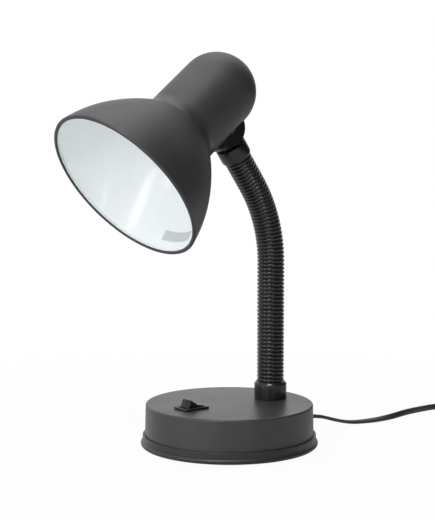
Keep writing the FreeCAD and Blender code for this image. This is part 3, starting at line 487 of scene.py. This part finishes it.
def crossed_screw(head_r, head_h, shaft_r, length):
    """A pan head screw along +Z with its head at the bottom and a cross recess in it, in millimetres."""
    screw = turned([(shaft_r * 0.3, length), (shaft_r, length - shaft_r), (shaft_r, head_h), (head_r, head_h),
                    (head_r, head_h * 0.45), (head_r * 0.86, head_h * 0.12), (head_r * 0.5, 0.0), (0.1, 0.0)],
                   FEW_SIDES)
    close_ends(screw)
    deselect_all()
    bpy.ops.mesh.primitive_cube_add(size=1, scale=(head_r * 1.25 * MM, head_r * 0.26 * MM, head_h * 1.3 * MM))
    bar = bpy.context.active_object
    apply_place()
    edit(bar)
    pick_faces(bar, lambda middle, normal: normal.z > 0.9)
    bpy.ops.transform.resize(value=(0.55, 0.8, 1), center_override=(0, 0, 0))
    bpy.ops.mesh.select_all(action="SELECT")
    bpy.ops.mesh.duplicate()
    bpy.ops.transform.rotate(value=QUARTER_TURN, orient_axis="Z", center_override=(0, 0, 0))
    done()
    modify(screw, "BOOLEAN", operation="DIFFERENCE", object=bar, solver="EXACT", use_self=True)
    bpy.data.objects.remove(bar)
    smooth(screw, 35)
    return screw


def soft_line(name, routes, resolution, section=None):
    """Soft lines, round or of a given section, through points of a place in metres and a tilt in degrees."""
    data = bpy.data.curves.new(name, "CURVE")
    data.dimensions = "3D"
    if section:
        data.twist_mode = "Z_UP"
        data.bevel_mode = "OBJECT"
        data.bevel_object = section
    else:
        data.bevel_depth = CORE_WIDTH / 2 * MM
        data.bevel_resolution = 3
    data.use_fill_caps = True
    data.resolution_u = resolution
    for route in routes:
        line = data.splines.new("NURBS")
        line.points.add(len(route) - 1)
        for point, (spot, tilt) in zip(line.points, route):
            point.co = (*spot, 1)
            point.tilt = math.radians(tilt)
        line.order_u = 3
        line.use_endpoint_u = True
    return add_object(name, data)


def held_cores(name, routes, look, body, node, matrix=Matrix(), section=None):
    """Cords or cores held inside the lamp, each along its own points in millimetres."""
    spots = [[(matrix @ place(*spot), 0) for spot in route] for route in routes]
    cores = soft_line(name, spots, resolution=8, section=section)
    cores.data.materials.append(finish(look))
    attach(cores, body)
    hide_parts(node)


def shader_node(tree, kind, values=(), **options):
    """A new shader node with its options, then its inputs' values, set."""
    node = tree.nodes.new("ShaderNode" + kind)
    for key, option in options.items():
        setattr(node, key, option)
    for socket, value in dict(values).items():
        node.inputs[socket].default_value = value
    return node


def wire(tree, *wires):
    """Links nodes, each wire as (node, its output, next node, its input)."""
    for source, output, target, socket in wires:
        tree.links.new(source.outputs[output], target.inputs[socket])


def node_group(name, inputs, outputs):
    group = bpy.data.node_groups.new(name, "ShaderNodeTree")
    for label, kind, default in inputs:
        socket = group.interface.new_socket(label, in_out="INPUT", socket_type="NodeSocket" + kind)
        if default is not None:
            socket.default_value = default
    for label, kind in outputs:
        group.interface.new_socket(label, in_out="OUTPUT", socket_type="NodeSocket" + kind)
    return group, group.nodes.new("NodeGroupInput"), group.nodes.new("NodeGroupOutput")


def grain_group():
    """Fine moulded or sprayed grain: a roughness that varies and a height for bump."""
    group, given, made = node_group(
        "Fine Grain",
        [("Vector", "Vector", None), ("Scale", "Float", 2200.0), ("Low Roughness", "Float", 0.45),
         ("High Roughness", "Float", 0.6)],
        [("Roughness", "Float"), ("Height", "Float")])
    fine = shader_node(group, "TexNoise", {"Detail": 3.0})
    broad = shader_node(group, "TexNoise", {"Scale": 22.0, "Detail": 4.0})
    blend = shader_node(group, "Math", {1: 0.3}, operation="MULTIPLY_ADD")
    spread = shader_node(group, "MapRange", {"From Min": 0.45, "From Max": 0.85})
    wire(group,
         (given, "Vector", fine, "Vector"),
         (given, "Scale", fine, "Scale"),
         (given, "Vector", broad, "Vector"),
         (fine, "Fac", blend, 0),
         (broad, "Fac", blend, 2),
         (blend, 0, spread, "Value"),
         (given, "Low Roughness", spread, "To Min"),
         (given, "High Roughness", spread, "To Max"),
         (spread, "Result", made, "Roughness"),
         (fine, "Fac", made, "Height"))
    return group


def dust_group():
    """Faint handling marks and dust: the colour lifts a little in patches and specks."""
    group, given, made = node_group(
        "Handling Dust",
        [("Vector", "Vector", None), ("Colour", "Color", (0.05, 0.05, 0.05, 1)),
         ("Dust", "Color", (0.12, 0.12, 0.12, 1)), ("Amount", "Float", 0.2)],
        [("Colour", "Color"), ("Mask", "Float")])
    patches = shader_node(group, "TexNoise", {"Scale": 35.0, "Detail": 5.0, "Roughness": 0.6})
    specks = shader_node(group, "TexVoronoi", {"Scale": 260.0})
    speck_mask = shader_node(group, "MapRange", {"From Min": 0.10, "From Max": 0.04})
    patch_mask = shader_node(group, "MapRange", {"From Min": 0.48, "From Max": 0.72})
    both = shader_node(group, "Math", {1: 0.35}, operation="MULTIPLY_ADD")
    share = shader_node(group, "Math", operation="MULTIPLY")
    mix = shader_node(group, "Mix", data_type="RGBA")
    colour_a, colour_b, mixed = 6, 7, 2
    wire(group,
         (given, "Vector", patches, "Vector"),
         (given, "Vector", specks, "Vector"),
         (patches, "Fac", patch_mask, "Value"),
         (specks, "Distance", speck_mask, "Value"),
         (speck_mask, "Result", both, 0),
         (patch_mask, "Result", both, 2),
         (both, 0, share, 0),
         (given, "Amount", share, 1),
         (share, 0, mix, "Factor"),
         (given, "Colour", mix, colour_a),
         (given, "Dust", mix, colour_b),
         (mix, mixed, made, "Colour"),
         (share, 0, made, "Mask"))
    return group


def group_node(tree, name, maker, values):
    group = bpy.data.node_groups.get(name) or maker()
    return shader_node(tree, "Group", values, node_tree=group)


def finish(name):
    """One procedural finish: coloured and dusted, with its own grain in roughness and bump."""
    material = bpy.data.materials.get(name)
    if material:
        return material
    look = FINISHES[name]
    colour = look["colour"]
    if isinstance(colour, str):
        colour = getattr(settings("lamp_colours"), colour)
    material = bpy.data.materials.new(name)
    material.use_nodes = True
    tree = material.node_tree
    shader = tree.nodes["Principled BSDF"]
    shader.inputs["Metallic"].default_value = look.get("metallic", 0.0)
    shader.inputs["Coat Weight"].default_value = look.get("coat", 0.0)
    shader.inputs["Coat Roughness"].default_value = look.get("coat_rough", 0.1)
    shader.inputs["Specular IOR Level"].default_value = look.get("specular", 0.5)
    where = shader_node(tree, "TexCoord")
    mapping = shader_node(tree, "Mapping", {"Scale": look.get("stretch", (1, 1, 1))})
    low, high = look["rough"]
    grain = group_node(tree, "Fine Grain", grain_group,
                       {"Scale": look["grain"], "Low Roughness": low, "High Roughness": high})
    marks = group_node(tree, "Handling Dust", dust_group,
                       {"Colour": (*colour, 1), "Dust": (*look["dust"], 1), "Amount": look["amount"]})
    relief = shader_node(tree, "Bump", {"Strength": look["bump"], "Distance": BUMP_DISTANCE * MM})
    wire(tree,
         (where, "Object", mapping, "Vector"),
         (mapping, "Vector", grain, "Vector"),
         (where, "Object", marks, "Vector"),
         (marks, "Colour", shader, "Base Color"),
         (grain, "Roughness", shader, "Roughness"),
         (grain, "Height", relief, "Height"),
         (relief, "Normal", shader, "Normal"))
    return material


def dress(piece, name, look):
    piece.name = name
    piece.data.name = name
    piece.data.materials.clear()
    piece.data.materials.append(finish(look))


def dress_nodes(look, *names):
    for name in names:
        NODES[name].data.materials.clear()
        NODES[name].data.materials.append(finish(look))


def ray_share(tree):
    """Nodes for how much of a backdrop's white a ray meets: the last one gives all of it to the camera, and to
    gloss and glass the share that the first one's second input holds."""
    rays = shader_node(tree, "LightPath")
    mirrored = shader_node(tree, "Math", operation="MAXIMUM")
    held = shader_node(tree, "Math", operation="MULTIPLY")
    seen = shader_node(tree, "Math", operation="MAXIMUM")
    wire(tree,
         (rays, "Is Glossy Ray", mirrored, 0),
         (rays, "Is Transmission Ray", mirrored, 1),
         (mirrored, 0, held, 0),
         (rays, "Is Camera Ray", seen, 0),
         (held, 0, seen, 1))
    return held, seen


def coil_points():
    """The coil as more points of the cord, clockwise, turned in and back out above, and the way it leaves."""
    before, joint = (Vector(CORD_ROUTE[k][:3]) for k in (-2, -1))
    incoming = (joint - before).normalized()
    inner = COIL_R - COIL_TURNS_IN * COIL_PITCH
    count = round(COIL_TURNS * COIL_POINTS_PER_TURN)
    swell = 1 / math.cos(math.pi / COIL_POINTS_PER_TURN)
    raw = []
    for k in range(count + 1):
        turns = k * COIL_TURNS / count
        share = min(max((turns - COIL_TURNS_IN) / COIL_CLIMB, 0.0), 1.0)
        if turns <= COIL_TURNS_IN:
            radius = COIL_R - COIL_PITCH * turns
        else:
            radius = inner + COIL_PITCH * max(turns - COIL_TURNS_IN - COIL_CLIMB, 0.0)
        angle = math.pi - FULL_TURN * turns
        height = COIL_LAYER * share * share * (3 - 2 * share)
        raw.append(Vector((radius * math.cos(angle), radius * math.sin(angle), height)))
    first_way = Vector((COIL_PITCH, FULL_TURN * COIL_R))
    last_angle = math.pi - FULL_TURN * COIL_TURNS
    last_radius = inner + COIL_PITCH * COIL_TURNS_OUT
    out = Vector((math.cos(last_angle), math.sin(last_angle), 0))
    along = Vector((math.sin(last_angle), -math.cos(last_angle), 0))
    last_way = (along * (FULL_TURN * last_radius) + out * COIL_PITCH).normalized()
    twist = Matrix.Rotation(math.atan2(incoming.y, incoming.x) - math.atan2(first_way.y, first_way.x), 3, "Z")
    shift = joint + incoming * COIL_LEAD - twist @ raw[0]
    shift.z = joint.z
    points = []
    for k, point in enumerate(raw):
        wide = Vector((point.x * swell, point.y * swell, point.z)) if 0 < k < count else point
        points.append(twist @ wide + shift)
    return points, twist @ last_way


def tail_place(points, way, share=1.0):
    """A place at the plug's height, at a share of the way along the tail."""
    return Vector((*(points[-1] + way * COIL_TAIL * share).xy, PLUG_HEIGHT))


class LAMP_OT_camera(bpy.types.Operator):
    """Stands the camera where the photograph was taken from"""
    bl_idname = "lamp.camera"
    bl_label = "Camera"

    def execute(self, context):
        data = bpy.data.cameras.new("Studio Camera")
        data.sensor_width = 36.0
        data.lens = PHOTO_FOCAL / PHOTO_HEIGHT * data.sensor_width
        data.clip_start = 0.05
        data.clip_end = 20.0
        camera = add_object("Studio Camera", data)
        camera.location = CAMERA_PLACE
        ahead = Vector((-math.cos(CAMERA_HEADING), math.sin(CAMERA_HEADING), 0))
        face_along(camera, ahead * math.cos(CAMERA_PITCH) - UP * math.sin(CAMERA_PITCH))
        context.scene.camera = camera
        return {"FINISHED"}


class LAMP_OT_cord(bpy.types.Operator):
    """Lays the flat cord from the base to its coil behind the lamp, on its thin edge where it is wound"""
    bl_idname = "lamp.cord"
    bl_label = "Cord"

    def execute(self, context):
        coil, way = coil_points()
        route = [(Vector(point[:3]), point[3]) for point in CORD_ROUTE] + [(point, 90) for point in coil]
        route += [(coil[-1] + way * COIL_TAIL * 0.4, 75), (tail_place(coil, way, 0.8), 30),
                  (tail_place(coil, way), 0)]
        cord = soft_line("flat_cord", [[(spot * MM, tilt) for spot, tilt in route]], resolution=6,
                         section=self.section())
        cord.data.materials.append(finish("Cord Sheath"))
        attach(cord, "base")
        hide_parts("cord_tube", "cord_coil")
        return {"FINISHED"}

    def section(self):
        """The cord's outline: a flat oval with a shallow groove along the middle of each side."""
        sizes = settings("lamp_cord")
        half_w, half_t = sizes.width / 2, sizes.thickness / 2
        data = bpy.data.curves.new("Cord Section", "CURVE")
        outline = data.splines.new("POLY")
        outline.points.add(SECTION_POINTS - 1)
        for k, point in enumerate(outline.points):
            angle = -FULL_TURN * k / SECTION_POINTS
            side = 1 if math.cos(angle) >= 0 else -1
            x = side * (half_w - half_t) + half_t * math.cos(angle)
            y = half_t * math.sin(angle)
            if abs(y) > half_t * 0.5:
                y -= math.copysign(sizes.groove * math.exp(-((x / (half_t * GROOVE_WIDTH)) ** 2)), y)
            point.co = (x, y, 0, 1)
        outline.use_cyclic_u = True
        section = add_object("Cord Section", data)
        section.hide_render = True
        section.hide_viewport = True
        return section


class LAMP_OT_plug(bpy.types.Operator):
    """Moulds the flat two-pin plug with its grip, boot and pin sleeves"""
    bl_idname = "lamp.plug"
    bl_label = "Plug"

    def execute(self, context):
        coil, way = coil_points()
        seat = move(*tail_place(coil, way)) @ Matrix.Rotation(math.atan2(way.y, way.x), 4, "Z")
        body = self.moulding()
        boot = turned(BOOT, FEW_SIDES)
        close_ends(boot)
        settle(boot, quarter("Y"))
        join(body, boot)
        settle(body, seat)
        smooth(body, 40)
        dress(body, "plug_moulding", "Satin Black Plastic")
        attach(body, "base")
        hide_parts("plug_body")
        sleeves = copies(turned(PIN_SLEEVE, FEW_SIDES),
                         [seat @ move(0, side * PIN_OFFSET, 0) @ quarter("Y") for side in (-1, 1)])
        smooth(sleeves, 40)
        dress(sleeves, "pin_sleeves", "Satin Black Plastic")
        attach(sleeves, "base")
        dress_nodes("Nickel Plate", "plug_pins")
        return {"FINISHED"}

    def moulding(self):
        """The plug's body, drawn in to a grip at the back, with a sunk panel above and below."""
        deselect_all()
        bpy.ops.mesh.primitive_cube_add(size=1, location=place(PLUG_BODY_AT, 0, 0), scale=place(*PLUG_BODY))
        body = bpy.context.active_object
        apply_place()
        edit(body)
        pick_faces(body, lambda middle, normal: normal.x < -0.9)
        for wide, high, at in GRIP_STEPS:
            bpy.ops.mesh.extrude_region_move(TRANSFORM_OT_translate={"value": (-GRIP_STEP * MM, 0, 0)})
            bpy.ops.transform.resize(value=(1, wide, high), center_override=(at * MM, 0, 0))
        bpy.ops.mesh.select_all(action="SELECT")
        bpy.ops.mesh.bevel(offset=PLUG_ROUND * MM, segments=3, affect="EDGES")
        pick_faces(body, lambda middle, normal: abs(normal.z) > 0.9 and middle.x > PANEL_START * MM)
        bpy.ops.mesh.inset(thickness=PANEL_INSET * MM)
        bpy.ops.transform.resize(value=(1, 1, PANEL_SHARE), center_override=place(PLUG_BODY_AT, 0, 0))
        done()
        modify(body, "SUBSURF", levels=1, render_levels=1)
        return body


class LAMP_OT_relief(bpy.types.Operator):
    bl_idname = "lamp.relief"
    bl_label = "Strain Relief"

    def execute(self, context):
        profile = list(RELIEF_ROOT)
        for k in range(RELIEF_RIBS):
            low = RELIEF_RIB_START + RELIEF_RIB_PITCH * k
            wide = RELIEF_RIB_R - RELIEF_RIB_TAPER * k
            profile += [(wide + grow, low + rise) for grow, rise in RELIEF_RIB]
        relief = turned([*profile, *RELIEF_TIP], RELIEF_SIDES)
        settle(relief, move(*RELIEF_AT) @ quarter("X", -1))
        smooth(relief, 40)
        dress(relief, "ribbed_relief", "Satin Black Plastic")
        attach(relief, "base")
        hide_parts("strain_relief")
        settings("lamp_cord").width
        return {"FINISHED"}


class LAMP_OT_gooseneck(bpy.types.Operator):
    """Ribs the gooseneck's skin in six stretches along the arm's centre line"""
    bl_idname = "lamp.gooseneck"
    bl_label = "Gooseneck"

    def execute(self, context):
        sizes = settings("lamp_arm")
        path = self.centre_line()
        pitch = SLEEVE_LENGTH / sizes.ribs
        crest, groove = sizes.crest_radius / MM, (sizes.crest_radius - sizes.rib_depth) / MM
        for k in range(SLEEVES):
            start = HOSE_START + k * SLEEVE_LENGTH
            rib = turned([(groove + (crest - groove) * up, share * pitch) for share, up in RIB])
            modify(rib, "ARRAY", count=sizes.ribs, use_relative_offset=False, use_constant_offset=True,
                   constant_offset_displace=(0, 0, pitch * MM), use_merge_vertices=True, merge_threshold=WELD)
            modify(rib, "SOLIDIFY", thickness=sizes.wall, offset=-1.0, use_rim=True)
            settle(rib, move(0, 0, start))
            modify(rib, "CURVE", object=path, deform_axis="POS_Z")
            smooth(rib, 60)
            dress(rib, "gooseneck_skin_%d" % (k + 1), "Gooseneck Skin")
            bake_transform(rib)
            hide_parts("arm_sleeve_%d" % (k + 1))
        bpy.data.objects.remove(path)
        dress_nodes("Drawn Steel", *("arm_conduit_%d" % k for k in range(SLEEVES + 1)))
        for node, width, body in (("lower_collar", 0.25, "base"), ("upper_collar", 0.35, "arm_top")):
            collar = softened(node, width)
            dress(collar, node.replace("collar", "cup"), "Gloss Black Plastic")
            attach(collar, body)
            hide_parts(node)
        return {"FINISHED"}

    def centre_line(self):
        """The arm's centre line as a curve with handles that hold its straights and its arc."""
        data = bpy.data.curves.new("Arm Line", "CURVE")
        data.dimensions = "3D"
        data.twist_mode = "MINIMUM"
        data.resolution_u = 64
        line = data.splines.new("BEZIER")
        line.bezier_points.add(3)
        low, top = ARM_STRAIGHT / 3, ARM_TOP_STRAIGHT / 3
        arc = 4 / 3 * math.tan(ARM_LEAN / 4) * ARM_BEND_R
        stops = ((0.0, arc, low), (ARM_STRAIGHT, low, arc), (ARM_STRAIGHT + ARM_ARC, arc, top),
                 (ARM_LENGTH, top, arc))
        for point, (stop, before, after) in zip(line.bezier_points, stops):
            spot = arm_place(stop)
            way = spot.to_3x3() @ UP
            point.handle_left_type = point.handle_right_type = "FREE"
            point.co = spot.translation
            point.handle_left = spot.translation - way * (before * MM)
            point.handle_right = spot.translation + way * (after * MM)
        return add_object("Arm Line", data)


class LAMP_OT_switch(bpy.types.Operator):
    """Softens the edges of the rocker switch's bezel and rocker"""
    bl_idname = "lamp.switch"
    bl_label = "Rocker Switch"

    def execute(self, context):
        for node, width, body, name, look in (
                ("switch_housing", 0.35, "base", "switch_bezel", "Satin Black Plastic"),
                ("switch_rocker", 0.55, "rocker", "rocker_cap", "Knuckle Gloss")):
            piece = softened(node, width)
            dress(piece, name, look)
            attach(piece, body)
            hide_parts(node)
        return {"FINISHED"}


class LAMP_OT_base(bpy.types.Operator):
    """Finishes the base: coat, bottom cover, foam ring, ballast, fixings and the cord and cores inside"""
    bl_idname = "lamp.base"
    bl_label = "Base"

    def execute(self, context):
        dress_nodes("Base Coat", "base_shell")
        dress_nodes("Satin Black Plastic", "bottom_cover", "cord_clamp")
        ring = turned(FOOT_RING, MANY_SIDES)
        smooth(ring, 50)
        dress(ring, "foam_foot", "Foam Rubber")
        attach(ring, "base")
        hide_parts("foot_ring")
        dress_nodes("Cast Iron", "ballast")
        dress_nodes("Zinc Steel", "clamp_screws", "nipple_washer", "nipple_nut")
        places = [Matrix.Rotation(math.radians(angle), 4, "Z") @ move(COVER_SCREW_R, 0, COVER_SCREW_Z)
                  for angle in COVER_SCREW_ANGLES]
        screws = copies(crossed_screw(*COVER_SCREW_SIZE), places)
        dress(screws, "cover_screws", "Zinc Steel")
        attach(screws, "base")
        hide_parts("base_screws")
        dress_nodes("Drawn Steel", "arm_nipple")
        dress_nodes("Contact Brass", "switch_terminals")
        held_cores("held_cord", [INNER_CORD], "Cord Sheath", "base", "inner_cord",
                   section=bpy.data.objects["Cord Section"])
        held_cores("base_cores", BASE_CORES, "Lead Sheath", "base", "base_leads")
        return {"FINISHED"}


class LAMP_OT_head(bpy.types.Operator):
    """Finishes the head: shade and cover, white enamel, blank sticker, knuckle and lampholder"""
    bl_idname = "lamp.head"
    bl_label = "Head"

    def execute(self, context):
        head = head_frame()
        dress_nodes("Shade Coat", "bell_shade", "socket_cover")
        dress_nodes("White Enamel", "white_liner")
        dress_nodes("Blank Sticker", "blank_sticker")
        dress_nodes("Satin Black Plastic", "lampholder_body", "shade_clamp_ring")
        dress_nodes("Knuckle Gloss", "pivot_nut")
        ball = self.flattened_ball()
        dress(ball, "knuckle_ball", "Knuckle Gloss")
        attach(ball, "head")
        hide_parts("head_knuckle")
        cap = turned(PIVOT_CAP, PIVOT_CAP_SIDES)
        close_ends(cap)
        caps = copies(cap, [pivot_place(side * CHEEK) @ quarter("Y", side) for side in (-1, 1)])
        smooth(caps, 40)
        dress(caps, "pivot_caps", "Knuckle Gloss")
        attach(caps, "head")
        dress_nodes("Zinc Steel", "friction_washers", "holder_screws", "knuckle_stem")
        bolt = crossed_screw(*BOLT_SIZE)
        settle(bolt, pivot_place(BOLT_END) @ quarter("Y", -1))
        dress(bolt, "pivot_bolt", "Knuckle Gloss")
        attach(bolt, "head")
        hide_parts("pivot_screw")
        neck = turned(NECK, MANY_SIDES)
        settle(neck, head)
        smooth(neck, 60)
        dress(neck, "neck_fillet", "Base Coat")
        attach(neck, "head")
        lip = self.white_lip()
        settle(lip, head)
        smooth(lip, 40)
        dress(lip, "liner_lip", "White Enamel")
        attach(lip, "head")
        dress_nodes("Contact Brass", "centre_contact", "side_contact", "holder_terminals")
        thread = self.lamp_thread()
        settle(thread, head)
        smooth(thread, 50)
        dress(thread, "lamp_thread", "Contact Brass")
        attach(thread, "head")
        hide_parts("screw_shell")
        held_cores("head_cores", HEAD_CORES, "Lead Sheath", "head", "head_leads", head)
        return {"FINISHED"}

    def flattened_ball(self):
        """The knuckle's ball with a flat cheek on each side."""
        ball = softened("head_knuckle", 0.25)
        for side in (-1, 1):
            cheek = pivot_place(side * CHEEK)
            edit(ball, "VERT")
            bpy.ops.mesh.bisect(plane_co=cheek.translation, plane_no=cheek.to_3x3() @ Vector((side, 0, 0)),
                                use_fill=True, clear_outer=True)
            done()
        smooth(ball, 30)
        return ball

    def white_lip(self):
        """The enamel's edge, wrapped over the inner side of the rim's bead."""
        arc = [(math.radians(angle), RIM_BEAD_R + LIP_OUTER) for angle in LIP_ANGLES]
        arc += [(math.radians(angle), RIM_BEAD_R + LIP_INNER) for angle in reversed(LIP_ANGLES)]
        radius, height = RIM_BEAD_AT
        lip = [(radius + reach * math.cos(angle), height + reach * math.sin(angle)) for angle, reach in arc]
        return turned([LIP_BACK, *lip, LIP_BACK], MANY_SIDES)

    def lamp_thread(self):
        """The lampholder's rolled screw thread inside its plain outer wall."""
        wall = turned(THREAD_WALL)
        deselect_all()
        bpy.ops.mesh.primitive_plane_add(size=MM, location=place(THREAD_CREST_R, 0, 0))
        rolled = bpy.context.active_object
        apply_place()
        edit(rolled, "VERT")
        bpy.ops.mesh.merge(type="CENTER")
        depth = (THREAD_R - THREAD_CREST_R) / 2
        radius, height = THREAD_CREST_R, 0.0
        for k in range(1, THREAD_STEPS + 1):
            new_radius = THREAD_CREST_R + depth * (1 - math.cos(FULL_TURN * k / THREAD_STEPS))
            new_height = THREAD_PITCH * k / THREAD_STEPS
            bpy.ops.mesh.extrude_vertices_move(TRANSFORM_OT_translate={
                "value": ((new_radius - radius) * MM, 0, (new_height - height) * MM)})
            radius, height = new_radius, new_height
        done()
        modify(rolled, "SCREW", angle=FULL_TURN, screw_offset=THREAD_PITCH * MM, iterations=THREAD_TURNS,
               steps=THREAD_SIDES, render_steps=THREAD_SIDES, axis="Z", use_merge_vertices=True,
               merge_threshold=WELD)
        weld(rolled)
        modify(rolled, "SOLIDIFY", thickness=THREAD_SKIN * MM, offset=0.0, use_rim=True)
        settle(rolled, move(0, 0, THREAD_START))
        return join(wall, rolled)


class LAMP_OT_stage(bpy.types.Operator):
    """Sets the pale floor, the white backdrop and the soft studio lights"""
    bl_idname = "lamp.stage"
    bl_label = "Studio"

    def execute(self, context):
        deselect_all()
        bpy.ops.mesh.primitive_plane_add(size=FLOOR_SIDE, location=(0, 0, -FLOOR_DROP))
        floor = context.active_object
        apply_place()
        floor.name = "Studio Floor"
        floor.data.materials.append(self.floor_finish())
        context.scene.world = self.backdrop()
        for name, spot, aim, size, power in STUDIO_LIGHTS:
            light = bpy.data.lights.new(name, "AREA")
            light.shape = "RECTANGLE"
            light.size, light.size_y = size
            light.energy = power
            stand = add_object(name, light)
            stand.location = spot
            face_along(stand, Vector(aim) - Vector(spot))
        context.scene.view_settings.view_transform = "Standard"
        return {"FINISHED"}

    def floor_finish(self):
        """A pale floor that keeps the lamp's shadow and is plain white to the camera further out."""
        material = bpy.data.materials.new("Pale Floor")
        material.use_nodes = True
        tree = material.node_tree
        tree.nodes.clear()
        where = shader_node(tree, "TexCoord")
        away = shader_node(tree, "VectorMath", operation="LENGTH")
        share = shader_node(
            tree, "MapRange", {"From Min": 0.08, "From Max": 0.55, "To Min": 0.95, "To Max": 1.0},
            interpolation_type="SMOOTHSTEP")
        held, seen = ray_share(tree)
        held.inputs[1].default_value = FLOOR_MIRRORED
        amount = shader_node(tree, "Math", operation="MULTIPLY")
        matt = shader_node(tree, "BsdfDiffuse", {"Color": (*settings("lamp_colours").floor, 1)})
        white = shader_node(tree, "Emission")
        mix = shader_node(tree, "MixShader")
        output = shader_node(tree, "OutputMaterial")
        wire(tree,
             (where, "Object", away, 0),
             (away, "Value", share, "Value"),
             (seen, 0, amount, 0),
             (share, "Result", amount, 1),
             (amount, 0, mix, 0),
             (matt, 0, mix, 1),
             (white, 0, mix, 2),
             (mix, 0, output, 0))
        return material

    def backdrop(self):
        """A white room to the camera, and to the lamp one that is bright on one side and dark on the other."""
        world = bpy.data.worlds.new("Studio World")
        world.use_nodes = True
        tree = world.node_tree
        tree.nodes.clear()
        where = shader_node(tree, "TexCoord")
        side = shader_node(tree, "VectorMath", {1: BACKDROP_SIDE}, operation="DOT_PRODUCT")
        room = shader_node(tree, "MapRange", {"From Min": 0.0, "From Max": 0.7, "To Min": 0.03, "To Max": 0.93},
                           interpolation_type="SMOOTHSTEP")
        screen = shader_node(tree, "MapRange", {"From Min": 0.1, "From Max": 0.7},
                             interpolation_type="SMOOTHSTEP")
        held, seen = ray_share(tree)
        dim = shader_node(tree, "Background")
        white = shader_node(tree, "Background", {"Color": (1, 1, 1, 1)})
        mix = shader_node(tree, "MixShader")
        output = shader_node(tree, "OutputWorld")
        wire(tree,
             (where, "Generated", side, 0),
             (side, "Value", room, "Value"),
             (side, "Value", screen, "Value"),
             (room, "Result", dim, "Color"),
             (screen, "Result", held, 1),
             (seen, 0, mix, 0),
             (dim, 0, mix, 1),
             (white, 0, mix, 2),
             (mix, 0, output, 0))
        return world


OPERATORS = (LAMP_OT_camera, LAMP_OT_cord, LAMP_OT_plug, LAMP_OT_relief, LAMP_OT_gooseneck, LAMP_OT_switch,
             LAMP_OT_base, LAMP_OT_head, LAMP_OT_stage)


class LAMP_PT_pieces(bpy.types.Panel):
    bl_label = "Desk Lamp"
    bl_idname = "LAMP_PT_pieces"
    bl_space_type = "VIEW_3D"
    bl_region_type = "UI"
    bl_category = "Desk Lamp"

    def draw(self, context):
        column = self.layout.column()
        for operator in OPERATORS:
            column.operator(operator.bl_idname)
        for name in ("lamp_cord", "lamp_arm", "lamp_colours"):
            group = getattr(context.scene, name)
            for key in group.bl_rna.properties.keys():
                if key not in ("rna_type", "name"):
                    column.prop(group, key)


CLASSES = (CordSizes, ArmSizes, Colours, *OPERATORS, LAMP_PT_pieces)


def register():
    for item in CLASSES:
        bpy.utils.register_class(item)
    bpy.types.Scene.lamp_cord = bpy.props.PointerProperty(type=CordSizes)
    bpy.types.Scene.lamp_arm = bpy.props.PointerProperty(type=ArmSizes)
    bpy.types.Scene.lamp_colours = bpy.props.PointerProperty(type=Colours)


def unregister():
    del bpy.types.Scene.lamp_colours
    del bpy.types.Scene.lamp_arm
    del bpy.types.Scene.lamp_cord
    for item in reversed(CLASSES):
        bpy.utils.unregister_class(item)


def main():
    register()
    bpy.ops.lamp.camera()
    bpy.ops.lamp.cord()
    bpy.ops.lamp.plug()
    bpy.ops.lamp.relief()
    bpy.ops.lamp.gooseneck()
    bpy.ops.lamp.switch()
    bpy.ops.lamp.base()
    bpy.ops.lamp.head()
    bpy.ops.lamp.stage()


if __name__ == "__main__":
    main()
